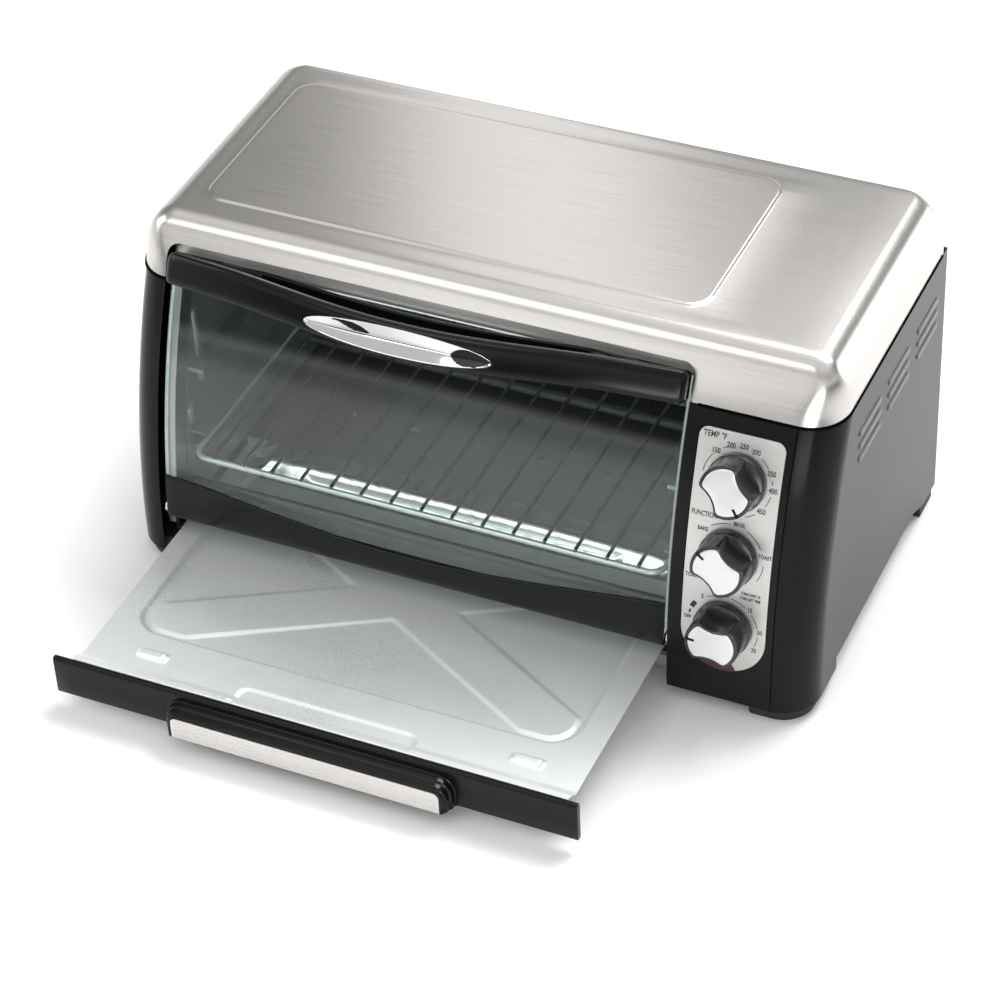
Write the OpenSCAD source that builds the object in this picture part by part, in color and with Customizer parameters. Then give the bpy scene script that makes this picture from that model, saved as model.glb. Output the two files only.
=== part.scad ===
// Countertop toaster oven: bowed front, drop-down glass door, slide-out crumb tray, three control knobs.
// +X is the oven's right (control side), +Y its back, +Z up. The feet stand on z = 0.
// Inside the modules y = 0 is the foremost line of the bowed front; placed() centres the whole part.

/* [Casing] */
// Overall width across the side panels
body_w = 460; // [440:5:480]
// Depth from the bowed front to the flat back
body_d = 241; // [236:1:246]
// Height of the top above the worktop
body_h = 233; // [231:1:236]
// Height of the seam under the stainless hood
seam_z = 197; // [194:1:199]
// Radius of the bowed front, seen from the side
front_r = 445; // [430:5:470]
// Radius of the rounded front and top corners
corner_r = 25; // [20:1:27]

/* [Door] */
// Left edge of the door
door_x0 = -201; // [-202:0.5:-200]
// Right edge of the door
door_x1 = 138; // [137:0.5:138]
// Thickness of the glass
glass_t = 4; // [3:0.5:4]

/* [Controls] */
// Radius of a knob's skirt
knob_r = 18; // [16:0.5:19]
// Height of a knob above the dial plate
knob_h = 20; // [16:1:22]
// Arc between knob centres, degrees about the centre of the bowed front
knob_pitch = 6.25; // [6:0.05:6.4]

/* [Rack and tray] */
// Height of the wire rack's frame
rack_z = 76; // [74:1:80]
// Spacing of the rack's cross wires
wire_pitch = 20.65; // [20:0.05:20.8]
// How far the crumb tray is drawn out of the oven
tray_out = 137; // [100:1:138]

/* [Hidden] */
$fn = 96;
// The bowed front is a cylinder about an axis along X at this height
front_cz = 11;
sheet = 1;
foot_h = 9.5;
base_z = 18.3;
hw = body_w / 2;
bezel_x0 = 139.5;
bezel_x1 = 206;
strip_x = 206.6;
top_fillet = 6;
joint_gap = 0.6;
arc_fn = 360;

// Cavity, inner faces
cav_x0 = -198;
cav_x1 = 136;
cav_y1 = 222;
cav_z1 = 212;
cav_t = 0.8;
cav_mid = (cav_x0 + cav_x1) / 2;
frame_r = front_r - 8;

// Hinge line of the door
hinge_y = 6;
hinge_z = 43.5;
pin_r = 2;
ear_r = 4.2;

// Door angles about the bow's axis
glass_a0 = 4.9;
glass_a1 = 26.6;
rail_a0 = 3.75;
handle_a = 25.3;
door_mid = (door_x0 + door_x1) / 2;

// Knobs
knob_x = 174.7;
timer_a = 6.9;
shaft_r = 3;
plate_x0 = 148;
plate_x1 = 201.4;
plate_mid_a = 13;
pocket = 1.6;
knob_lift = 0.6;
temp_turn = -145;
function_turn = 53;
timer_turn = 85;

// Tray
tray_x0 = -195;
tray_x1 = 133;
tray_z = 27.4;
tray_len = 229;
tray_shut_y = 1.2;
tray_y = tray_shut_y - tray_out;
panel_x0 = -204.5;
panel_x1 = 141.5;
panel_t = 6;
basin_drop = 3.4;
grip_d = 11;

// Rack
rack_x0 = -192;
rack_x1 = 130;
rack_y0 = 19.3;
rack_y1 = 214;
rack_frame_r = 2;
wire_r = 1.2;
ledge_w = 11;

// Heating elements
element_r = 3.2;
upper_el_z = 203;
lower_el_z = 45;
upper_el_y = [84, 185];
lower_el_y = [32, 196];

// Rear
bulge_d = 16;
gland_pos = [200, 30];

// The whole part is centred between the tray's grip and the rear spacers
front_most = tray_y - panel_t - grip_d;
rear_most = body_d + bulge_d + 4;
shift_y = -(front_most + rear_most) / 2;

// ---- helpers -------------------------------------------------------------

// y of the bowed surface at height z
function front_y(z) = front_r - sqrt(pow(front_r, 2) - pow(z - front_cz, 2));

module placed() translate([0, shift_y, 0]) children();

// Turns shapes made about Z, with their own +X forward, to lie about the bow's axis
module about_bow() translate([0, front_r, front_cz]) rotate([90, 0, -90]) children();

// Revolves a 2-D shape drawn as [radius, -x] between two angles of the bow
module bow_sweep(a0, a1) about_bow() rotate([0, 0, a0])
  rotate_extrude(angle = a1 - a0, $fn = arc_fn) children();

// Slab of the bow between two x values, two radii and two angles
module bow_slab(x0, x1, r0, r1, a0, a1) bow_sweep(a0, a1)
  translate([r0, -x1]) square([r1 - r0, x1 - x0]);

// Frame on the bow at angle a: +X right, +Y up along the face, +Z out of the oven
module on_bow(a, out = 0)
  translate([0, front_r - (front_r + out) * cos(a), front_cz + (front_r + out) * sin(a)])
  rotate([90 - a, 0, 0]) children();

// Extrudes a shape drawn as [y, z] along X
module along_x(x0, x1) translate([x0, 0, 0]) rotate([90, 0, 90]) linear_extrude(x1 - x0) children();

// Extrudes a shape drawn as [x, z] along Y
module along_y(y0, y1) translate([0, y1, 0]) rotate([90, 0, 0]) linear_extrude(y1 - y0) children();

module rounded(x0, y0, x1, y1, r) {
  translate([x0 + r, y0]) square([x1 - x0 - 2 * r, y1 - y0]);
  translate([x0, y0 + r]) square([x1 - x0, y1 - y0 - 2 * r]);
  for (x = [x0 + r, x1 - r], y = [y0 + r, y1 - r]) translate([x, y]) circle(r);
}

module box(lo, hi) translate(lo) cube(hi - lo);

// ---- casing --------------------------------------------------------------

// Side profile of the hood, [y, z], with the rounded fold between bow and top
module hood_profile(in) {
  r = front_r - in;
  top = body_h - in;
  f = top_fillet - in;
  a = asin((top - f - front_cz) / (r - f));
  fold = [front_r - (r - f) * cos(a), top - f];
  edge = [front_r - r * cos(a), front_cz + r * sin(a)];
  back = body_d - in;
  intersection() {
    translate([front_r, front_cz]) circle(r, $fn = arc_fn);
    translate([0, seam_z - 20]) square([back, edge[1] - seam_z + 20]);
  }
  translate(fold) circle(f);
  polygon([edge, fold, [fold[0], top], [back, top], [back, edge[1] - 0.01], [edge[0], edge[1] - 0.01]]);
}

// Solid bounded by the hood, moved inwards by in
module hood_form(in) {
  c = corner_r - in;
  w = hw - in;
  intersection() {
    along_x(-w, w) hood_profile(in);
    along_y(0, body_d) {
      translate([-w, seam_z - 20]) square([2 * w, body_h - in - c - seam_z + 20]);
      translate([-w + c, seam_z]) square([2 * (w - c), body_h - in - seam_z]);
      for (s = [-1, 1]) translate([s * (w - c), body_h - in - c]) circle(c);
    }
    union() {
      bow_sweep(16, 36) {
        translate([front_r - 110, -w]) square([110 - in - c, 2 * w]);
        translate([front_r - 110, -w + c]) square([110 - in, 2 * (w - c)]);
        for (s = [-1, 1]) translate([front_r - in - c, s * (w - c)]) circle(c);
      }
      box([-w, 90, seam_z - 20], [w, body_d, body_h]);
    }
  }
}

emboss_x0 = -199;
emboss_x1 = 133;
emboss_y0 = 80;
emboss_y1 = 222;

module hood() color("lightgray") placed() difference() {
  union() {
    intersection() {
      difference() {
        hood_form(0);
        hood_form(sheet);
      }
      box([-hw - 1, -1, seam_z], [hw + 1, body_d + 1, body_h + 1]);
    }
    // raised panel pressed into the top
    translate([0, 0, body_h - 0.5]) linear_extrude(1.5)
      rounded(emboss_x0, emboss_y0, emboss_x1, emboss_y1, 14);
    translate([0, 0, body_h - 0.5]) linear_extrude(2.1)
      rounded(emboss_x0 + 3, emboss_y0 + 3, emboss_x1 - 3, emboss_y1 - 3, 11);
    // joggled lip that locates the hood inside the casing
    intersection() {
      difference() {
        hood_form(sheet + 0.15);
        hood_form(sheet + 1.15);
      }
      box([-hw, 0, seam_z - 7], [hw, body_d - 3, seam_z + 4]);
    }
    intersection() {
      difference() {
        hood_form(0.4);
        hood_form(sheet + 1.15);
      }
      box([-hw, 0, seam_z + 1], [hw, body_d, seam_z + 4]);
    }
  }
  // opening over the door
  along_y(-1, 75) {
    rounded(-207, seam_z - 30, 140.6, 217.6, 8);
  }
  // inside of the lip stays clear of the control bezel
  box([135, -1, seam_z - 10], [212, 70, seam_z - 0.01]);
}

louvre_z = [149.5, 159, 168.5];
louvre_y = [80, 132.5, 186.5];

module louvres() for (y = louvre_y, z = louvre_z) {
  along_x(hw - 3, hw + 1) side_slot(y, z, 39, 3);
}

// Slot with round ends, drawn as [y, z]
module side_slot(y, z, len, wide) {
  translate([y + wide / 2, z - wide / 2]) square([len - wide, wide]);
  for (e = [wide / 2, len - wide / 2]) translate([y + e, z]) circle(wide / 2);
}

// Side wall with the rounded front corner and the narrow front strip, on the +X side
module side_panel() difference() {
  union() {
    intersection() {
      bow_sweep(-3, 27) difference() {
        wrap_2d(0);
        wrap_2d(sheet);
        translate([front_r - 60, -strip_x]) square([70, 2 * strip_x]);
      }
      box([0, -1, foot_h], [hw + 1, 100, seam_z - joint_gap]);
    }
    along_x(hw - sheet, hw) difference() {
      intersection() {
        translate([front_r, front_cz]) circle(front_r - corner_r - 2, $fn = arc_fn);
        translate([0, foot_h]) square([body_d, seam_z - joint_gap - foot_h]);
      }
      polygon([[51, foot_h - 1], [51, base_z], [197, base_z], [218, foot_h], [218, foot_h - 1]]);
    }
  }
  along_x(hw - 40, hw + 1) polygon([[51, foot_h - 1], [51, base_z], [120, base_z], [120, foot_h - 1]]);
  louvres();
}

// Outline of the casing's front corner as [radius, -x], moved inwards by in
module wrap_2d(in) {
  c = corner_r - in;
  w = hw - in;
  intersection() {
    union() {
      translate([front_r - 32, -w]) square([32 - in - c, w]);
      translate([front_r - 32, -w + c]) square([32 - in, w - c]);
      translate([front_r - in - c, -w + c]) circle(c);
    }
    translate([front_r - 32, -w - 1]) square([33, w + 1]);
  }
}

module side_panel_right() color("#26262a") placed() side_panel();
module side_panel_left() color("#26262a") placed() mirror([1, 0, 0]) side_panel();

vent_rows = 5;
vent_x = [-206, 198];

// Positions of the rear screws, [x, z]
rear_screws = [[-222, 24], [222, 24], [-222, 190], [-120, 190], [0, 190], [150, 190], [222, 190]];

module rear_cover() color("#2a2a2c") placed() difference() {
  union() {
    box([-hw + sheet + 0.3, body_d - sheet, foot_h + 4], [hw - sheet - 0.3, body_d, seam_z - joint_gap]);
    along_y(body_d - sheet, body_d + bulge_d) rounded(-182, 42, 120, 182, 18);
  }
  along_y(body_d - sheet - 1, body_d + bulge_d - sheet)
    rounded(-182 + sheet, 42 + sheet, 120 - sheet, 182 - sheet, 17);
  for (i = [0 : vent_rows - 1], x = vent_x)
    along_y(body_d - 3, body_d + 1) translate([x, 150 - 9 * i]) rounded(-14, -1.5, 14, 1.5, 1.4);
  for (q = rear_screws) along_y(body_d - 3, body_d + 1) translate(q) circle(1.6, $fn = 32);
  along_y(body_d - 3, body_d + 3) translate(gland_pos) circle(6.5);
}

module rear_spacers() color("#1c1c1e") placed() for (x = [-150, 88])
  translate([x, body_d + bulge_d, 60]) rotate([-90, 0, 0]) cylinder(h = 4, r = 7);

module base_plate() color("silver") placed() difference() {
  union() {
    box([-hw + sheet + 0.4, 28, base_z], [hw - sheet - 0.4, body_d - sheet - 0.3, base_z + 1]);
    box([-205, 14, base_z], [138, 28.5, base_z + 1]);
    box([-205, 14, foot_h + 1], [138, 15, base_z + 0.5]);
  }
  for (i = [0 : 5], j = [0 : 1]) translate([-150 + 46 * i, 90 + 70 * j, base_z - 1]) cylinder(h = 3, r = 3);
}

// Front foot follows the rounded corner of the casing
module foot_front() {
  difference() {
    intersection() {
      union() {
        translate([hw - corner_r - 4, corner_r + 6, 0])
          cylinder(h = foot_h, r1 = corner_r - 2, r2 = corner_r);
        box([191, 6, 0], [hw - corner_r, 31, foot_h]);
        box([205, 31, 0], [hw - 4, 48, foot_h]);
      }
      box([185, 5, 0], [hw - 2, 60, foot_h - 0.1]);
    }
    translate([207, 28, -1]) cylinder(h = 3.5, r = 4);
  }
  box([196, 17, foot_h - 0.2], [hw - 7, 44, base_z - 0.1]);
}

module foot_rear() {
  box([206, 216, 0], [hw - 1.5, body_d - 2, foot_h - 0.1]);
  box([208, 219, foot_h - 0.2], [hw - 3, body_d - 3, base_z - 0.1]);
}

module foot_front_left() color("#1c1c1e") placed() mirror([1, 0, 0]) foot_front();
module foot_front_right() color("#1c1c1e") placed() foot_front();
module foot_rear_left() color("#1c1c1e") placed() mirror([1, 0, 0]) foot_rear();
module foot_rear_right() color("#1c1c1e") placed() foot_rear();

// ---- cavity --------------------------------------------------------------

// The flange beside the door starts above the hinges
flange_a0 = 5.4;

module front_frame() color("silver") placed() {
  difference() {
    bow_slab(-205.8, 138.9, frame_r - 1, frame_r, 2.2, 28.6);
    bow_slab(cav_x0, cav_x1, frame_r - 20, frame_r + 5, 1, 26.4);
    // narrow leg and foot at the left, clear of the door's swing
    bow_slab(-203.9, cav_x0 + 1, frame_r - 20, frame_r + 5, 3.7, flange_a0);
    bow_slab(-201.6, cav_x0 + 1, frame_r - 20, frame_r + 5, 1, 3.8);
    bow_slab(cav_x1 - 1, 140, frame_r - 20, frame_r + 5, 1, flange_a0);
  }
  bow_slab(cav_x0 - cav_t, cav_x0 - 0.1, frame_r - 14, frame_r - 0.5, flange_a0 + 0.2, 26.2);
  bow_slab(cav_x1 + 0.1, cav_x1 + cav_t, frame_r - 14, frame_r - 0.5, flange_a0 + 0.2, 26.2);
}

// Outline of a cavity side, [y, z], behind the frame's flange
module cavity_side_2d() intersection() {
  translate([front_r, front_cz]) circle(frame_r - 15, $fn = arc_fn);
  translate([0, 32]) square([cav_y1, cav_z1 - 32]);
}

// Ledge that the rack slides on, and the stop rib above it
module rack_ledge(x0, x1) {
  box([x0, 34, rack_z - rack_frame_r - 3.3], [x1, 214, rack_z - rack_frame_r - 0.3]);
  box([x0, 34, rack_z + 7], [x1, 214, rack_z + 9]);
  box([x0, 40, 128], [x1, 214, 131]);
}

module cavity_wall(x) along_x(x, x + cav_t) difference() {
  cavity_side_2d();
  for (i = [0, 1]) {
    translate([upper_el_y[i], upper_el_z]) circle(element_r + 0.15);
    translate([lower_el_y[i], lower_el_z]) circle(element_r + 0.15);
  }
}

module cavity_left() color("lightslategray") placed() {
  cavity_wall(cav_x0 - cav_t);
  rack_ledge(cav_x0 - 0.2, cav_x0 + ledge_w);
}

module cavity_right() color("lightslategray") placed() {
  cavity_wall(cav_x1);
  rack_ledge(cav_x1 - ledge_w, cav_x1 + 0.2);
}

module cavity_top() color("lightslategray") placed()
  box([cav_x0 - cav_t, 62, cav_z1 + 0.05], [cav_x1 + cav_t, cav_y1 + cav_t, cav_z1 + 0.05 + cav_t]);

module cavity_back() color("lightslategray") placed() difference() {
  union() {
    box([cav_x0 - cav_t, cav_y1 + 0.05, 40], [cav_x1 + cav_t, cav_y1 + 0.05 + cav_t, cav_z1]);
    along_y(cav_y1 + 0.05, cav_y1 + 22) rounded(-170, 52, 108, 172, 20);
  }
  along_y(cav_y1 - 1, cav_y1 + 22 - cav_t) rounded(-170 + cav_t, 52 + cav_t, 108 - cav_t, 172 - cav_t, 19);
}

module heat_shield() color("silver") placed() difference() {
  box([144.5, 44, base_z + 1.1], [145.3, 226, 192]);
  for (z = [60, 100, 140]) translate([140, 200, z]) rotate([0, 90, 0]) cylinder(h = 10, r = 5);
}

module tray_guide(x0, x1, inner) {
  box([x0, 16, base_z + 1], [x1, cav_y1, base_z + 2]);
  box([inner, 16, base_z + 1], [inner + 1, cav_y1, tray_z - 0.5]);
  box([min(inner, x0), 16, tray_z - 1.3], [max(inner + 1, x1), cav_y1, tray_z - 0.3]);
}

module tray_guides() color("silver") placed() {
  tray_guide(-197.5, -189, -190);
  tray_guide(127, 135.5, 127);
}

// Ears at the foot of the front frame that carry the door's pins
module hinge_ear(x0, x1) along_x(x0, x1) difference() {
  union() {
    translate([hinge_y, hinge_z]) circle(ear_r);
    translate([hinge_y, hinge_z - ear_r]) square([16 - hinge_y, 2 * ear_r]);
    translate([12, base_z + 1.05]) square([4, hinge_z - base_z - 3]);
  }
  translate([hinge_y, hinge_z]) circle(pin_r + 0.05);
}

module hinge_brackets() color("gainsboro") placed() {
  hinge_ear(-203.6, -202.1);
  hinge_ear(138.4, 139.4);
}

// Heating element: a straight sheathed rod between the two end walls
module element(y, z) translate([cav_x0 - 8, y, z]) rotate([0, 90, 0])
  cylinder(h = cav_x1 - cav_x0 + 14, r = element_r);

module upper_element_front() color("dimgray") placed() element(upper_el_y[0], upper_el_z);
module upper_element_rear() color("dimgray") placed() element(upper_el_y[1], upper_el_z);
module lower_element_front() color("dimgray") placed() element(lower_el_y[0], lower_el_z);
module lower_element_rear() color("dimgray") placed() element(lower_el_y[1], lower_el_z);

module insulator(x, y, z) translate([x, y, z]) rotate([0, 90, 0]) difference() {
  cylinder(h = 5, r = 6);
  translate([0, 0, -1]) cylinder(h = 7, r = element_r + 0.05);
}

module element_insulators() color("ivory") placed()
  for (x = [cav_x0 - cav_t - 5.1, cav_x1 + cav_t + 0.1])
    for (i = [0, 1]) {
      insulator(x, upper_el_y[i], upper_el_z);
      insulator(x, lower_el_y[i], lower_el_z);
    }

// ---- controls ------------------------------------------------------------

function knob_a(i) = timer_a + i * knob_pitch;

// Outline of the dial plate in the frame at plate_mid_a: square-shouldered top and round bottom
module plate_2d(grow = 0) {
  w = (plate_x1 - plate_x0) / 2 + grow;
  mid = (plate_x0 + plate_x1) / 2;
  top = front_r * sin(23.2 - plate_mid_a) + grow;
  low = -front_r * sin(plate_mid_a - 6.3);
  difference() {
    translate([mid, 0]) rounded(-w, low - 30, w, top, 6 + grow);
    translate([mid - w - 1, low - 40]) square([2 * w + 2, 40]);
  }
  intersection() {
    translate([mid, low]) circle(w);
    translate([mid - w, low - w]) square([2 * w, w + 0.01]);
  }
}

// The lens fills the foot of the pocket, below an arc cut from the plate
module lens_2d(grow = 0) translate([171, -front_r * sin(plate_mid_a - 2.3)]) circle(13 + grow);

module control_bezel() color("#242426") placed() difference() {
  intersection() {
    union() {
      bow_slab(bezel_x0, bezel_x1, front_r - 4, front_r, -2, 27);
      bow_slab(bezel_x0, bezel_x0 + 2, front_r - 14, front_r - 1, -2, 27);
      bow_slab(bezel_x1 - 2, bezel_x1, front_r - 14, front_r - 1, -2, 27);
      box([bezel_x0, 1, foot_h], [bezel_x1, 14, foot_h + 2]);
    }
    box([0, -1, foot_h], [hw, 90, seam_z - joint_gap]);
  }
  intersection() {
    on_bow(plate_mid_a, -20) linear_extrude(40) plate_2d(0.5);
    bow_slab(bezel_x0, bezel_x1, front_r - pocket, front_r + 3, 0, 25);
  }
  for (i = [0 : 2]) on_bow(knob_a(i), -12) translate([knob_x, 0, 0]) cylinder(h = 20, r = 5.5);
  on_bow(3.6, -12) translate([171, 0, 0]) cylinder(h = 20, r = 3.5);
}

module dial_plate() color("gainsboro") placed() difference() {
  intersection() {
    on_bow(plate_mid_a, -20) linear_extrude(40) difference() {
      plate_2d();
      lens_2d(0.3);
    }
    bow_slab(bezel_x0, bezel_x1, front_r - pocket, front_r - pocket + 1.2, 0, 25);
  }
  for (i = [0 : 2]) on_bow(knob_a(i), -12) translate([knob_x, 0, 0]) cylinder(h = 20, r = 5);
}

module indicator_lens() color("#5a1a1a") placed() intersection() {
  on_bow(plate_mid_a, -20) linear_extrude(40) intersection() {
    plate_2d();
    lens_2d();
  }
  bow_slab(bezel_x0, bezel_x1, front_r - pocket, front_r + 0.6, 0, 25);
}

module indicator_lamp() color("orange") placed() on_bow(3.6, -14) translate([171, 0, 0]) {
  cylinder(h = 12, r = 2.5);
  translate([-5, -8, -6]) cube([10, 10, 6]);
}

// Grip outline seen from the front: a disc with two hollows
module grip_2d(r, hollow) difference() {
  circle(r);
  for (s = [-1, 1]) translate([s * 29, 0]) circle(hollow);
}

// Frame of a knob: its axis is the panel's normal and +Y its pointer
module knob_frame(i, turn) on_bow(knob_a(i)) translate([knob_x, 0, knob_lift])
  rotate([0, 0, turn]) children();

module knob() difference() {
  union() {
    cylinder(h = 4.5, r = knob_r);
    intersection() {
      cylinder(h = knob_h, r1 = knob_r, r2 = knob_r - 1.2);
      linear_extrude(knob_h) grip_2d(knob_r + 1, 20);
    }
  }
  translate([0, 0, knob_h - 1]) linear_extrude(2) grip_2d(13.8, 21.5);
  translate([0, 0, -1]) cylinder(h = 13, r = shaft_r + 0.05);
  translate([0, 0, -0.01]) difference() {
    cylinder(h = 3, r = knob_r - 2);
    cylinder(h = 3, r = 6);
  }
}

module knob_cap() {
  translate([0, 0, knob_h - 0.95]) linear_extrude(1.1) difference() {
    grip_2d(13.7, 21.6);
    translate([-0.8, 10.2]) square([1.6, 5]);
  }
}

module shaft() difference() {
  translate([0, 0, -19]) cylinder(h = 30, r = shaft_r);
  translate([shaft_r - 0.8, -5, 2]) cube([5, 10, 10]);
}

module temperature_knob() color("#3a3a3c") placed() knob_frame(2, temp_turn) knob();
module temperature_knob_cap() color("silver") placed() knob_frame(2, temp_turn) knob_cap();
module temperature_shaft() color("gray") placed() knob_frame(2, temp_turn) shaft();
module function_knob() color("#3a3a3c") placed() knob_frame(1, function_turn) knob();
module function_knob_cap() color("silver") placed() knob_frame(1, function_turn) knob_cap();
module function_shaft() color("gray") placed() knob_frame(1, function_turn) shaft();
module timer_knob() color("#3a3a3c") placed() knob_frame(0, timer_turn) knob();
module timer_knob_cap() color("silver") placed() knob_frame(0, timer_turn) knob_cap();
module timer_shaft() color("gray") placed() knob_frame(0, timer_turn) shaft();

// Control behind the bezel: a bush, a body with a blind bore, and its spade terminals
module control(i, size, depth, tabs) on_bow(knob_a(i), -5) translate([knob_x, 0, 0]) difference() {
  union() {
    translate([0, 0, -0.5]) cylinder(h = 5, r = 4.8);
    translate([-size / 2, -size / 2, -depth]) cube([size, size, depth]);
    for (t = [0 : tabs - 1]) translate([-size / 2 + 4 + 7 * t, -3, -depth - 7]) cube([0.8, 6, 8]);
  }
  translate([0, 0, -18]) cylinder(h = 30, r = shaft_r + 0.05);
}

module thermostat() color("tan") placed() control(2, 34, 24, 2);
module function_switch() color("dimgray") placed() control(1, 36, 26, 4);
module timer() color("silver") placed() control(0, 42, 34, 3);

module timer_bell() color("gold") placed() on_bow(knob_a(0), -58) translate([knob_x, 0, 0]) difference() {
  cylinder(h = 8, r1 = 15, r2 = 17);
  translate([0, 0, 1]) cylinder(h = 8, r1 = 14, r2 = 16);
}

// Insulated leads: one trunk from the gland and a branch to each control, as [y, z, x at the control]
trunk_x = 200;
trunk_y = 118;
branches = [[25, 62, 196], [29, 108, 193], [41, 153, 192]];

module wiring() color("white") placed() {
  rod_y(trunk_x, trunk_y - 3.5, 226, gland_pos[1], 2.2);
  translate([trunk_x, trunk_y, gland_pos[1]]) cylinder(h = 128, r = 1.9, $fn = 32);
  for (b = branches) {
    rod_y(trunk_x, b[0] - 2.5, trunk_y, b[1], 1.5);
    rod_x(b[2], trunk_x, b[0], b[1], 1.2);
  }
}

module cord_gland() color("#1c1c1e") placed() translate([gland_pos[0], 0, gland_pos[1]])
  rotate([-90, 0, 0]) difference() {
  union() {
    translate([0, 0, body_d - 7]) cylinder(h = 15, r = 6.3);
    translate([0, 0, body_d + 0.1]) cylinder(h = 2.5, r = 9);
    translate([0, 0, body_d - 6.5]) cylinder(h = 5, r = 8);
  }
  translate([0, 0, body_d - 20]) cylinder(h = 40, r = 3.5);
}

// Pan-head screw pointing along +Z below its head
module screw(len = 6) {
  cylinder(h = len, r = 1.5, $fn = 32);
  translate([0, 0, -1.6]) difference() {
    cylinder(h = 1.6, r1 = 2.6, r2 = 3.2, $fn = 32);
    translate([-2, -0.35, -0.1]) cube([4, 0.7, 0.9]);
    translate([-0.35, -2, -0.1]) cube([0.7, 4, 0.9]);
  }
}

module casing_screws() color("silver") placed()
  for (q = rear_screws) translate([q[0], body_d + 0.05, q[1]]) rotate([90, 0, 0]) screw(2.4);

// Screws that hold the front frame, seen beside the door and above its handle
module frame_screws() color("gainsboro") placed() {
  for (a = [23.6, 12.8, 3.4]) on_bow(a, -8 + 0.05) translate([-204.2, 0, 0])
    mirror([0, 0, 1]) small_screw();
  for (x = [-180, 122]) on_bow(27.9, -8 + 0.05) translate([x, 0, 0]) mirror([0, 0, 1]) small_screw();
}

module small_screw() translate([0, 0, -1.2]) cylinder(h = 1.2, r1 = 1.2, r2 = 1.5, $fn = 32);

// ---- door ----------------------------------------------------------------

door_screw_x = [-185, 122];

module door_glass() color("lightcyan", 0.4) placed() difference() {
  bow_slab(door_x0, door_x1, front_r - glass_t, front_r, glass_a0, glass_a1);
  on_bow(handle_a, -8) for (x = door_screw_x) translate([x, 0, 0]) cylinder(h = 12, r = 2.2, $fn = 32);
}

// Share of the bar's swoop at x: 1 in the middle, 0 towards the ends
function swoop(x) = pow(cos(90 * min(1, abs(x - door_mid) / 130)), 1.6);

// Edges and thickness of the grip bar along x, in the frame at handle_a
function bar_top(x) = 14.6 - 5.9 * swoop(x);
function bar_low(x) = -5.6 - 7.1 * swoop(x);
function bar_out(x) = 10 + 22 * (1 - pow((x - door_mid) / 170.5, 2));
bar_wall = 8;
bar_floor = 4;
handle_n = 24;
handle_x0 = door_x0 - 0.5;
handle_x1 = door_x1 + 0.5;
handle_xs = [for (i = [0 : handle_n]) handle_x0 + (handle_x1 - handle_x0) * i / handle_n];
handle_rev = [for (i = [handle_n : -1 : 0]) handle_xs[i]];

// Front view of the grip bar
module handle_front_2d() polygon(concat(
  [for (x = handle_xs) [x, bar_low(x)]], [for (x = handle_rev) [x, bar_top(x)]]));

// Plan view of the grip bar, [x, out], bowed out in the middle
module handle_plan_2d(in = 0) polygon(concat(
  [[handle_x0, 0.4]], [for (x = handle_xs) [x, bar_out(x) - in]], [[handle_x1, 0.4]]));

// Finger pocket behind the grip bar, open at the top
module handle_pocket() intersection() {
  translate([0, 0, 4]) linear_extrude(40) intersection() {
    polygon(concat([for (x = handle_xs) [x, bar_low(x) + bar_floor]], [[handle_x1, 40], [handle_x0, 40]]));
    translate([door_mid - 108, -40]) square([216, 80]);
  }
  translate([0, 40, 0]) rotate([90, 0, 0]) linear_extrude(80) handle_plan_2d(bar_wall);
}

module door_handle() color("#202022") placed() on_bow(handle_a) difference() {
  union() {
    intersection() {
      linear_extrude(40) handle_front_2d();
      translate([0, 30, 0]) rotate([90, 0, 0]) linear_extrude(60) handle_plan_2d();
    }
    translate([handle_x0, -4, 0.4]) cube([handle_x1 - handle_x0, 17.5, 3.6]);
  }
  handle_pocket();
  translate([scoop_x, scoop_v, bar_out(scoop_x) - scoop_depth]) linear_extrude(20) scoop_2d(61.5, 8.3);
  for (x = door_screw_x) translate([x, 0, -1]) cylinder(h = 4.4, r = 1.6, $fn = 32);
}

// Bright dished insert in the middle of the bar
scoop_x = -35.5;
scoop_v = -2.6;
scoop_depth = 5;

module scoop_2d(a, b) scale([a, b]) polygon([for (i = [0 : 47]) [cos(7.5 * i), sin(7.5 * i)]]);

module handle_scoop() color("white") placed() on_bow(handle_a)
  translate([scoop_x, scoop_v, bar_out(scoop_x) - scoop_depth + 0.05]) difference() {
    linear_extrude(3.4) scoop_2d(61.4, 8.2);
    translate([0, 0, 1]) linear_extrude(4) scoop_2d(60, 7);
  }

// Upper edge of the lower rail sags in the middle
rail_n = 24;
function rail_top(x) = 15.5 - 15 * pow(cos(90 * min(1, abs(x - door_mid) / 175)), 1.3);
rail_x1 = door_x1 - 0.3;
function rx(i) = door_x0 + (rail_x1 - door_x0) * i / rail_n;

// Block for the hinge pin, behind the foot of the rail
module rail_knuckle(x)
  bow_slab(x, x + 12, front_r - glass_t - 5.5, front_r - glass_t - 1, rail_a0 + 0.05, glass_a0 - 0.1);

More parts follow.
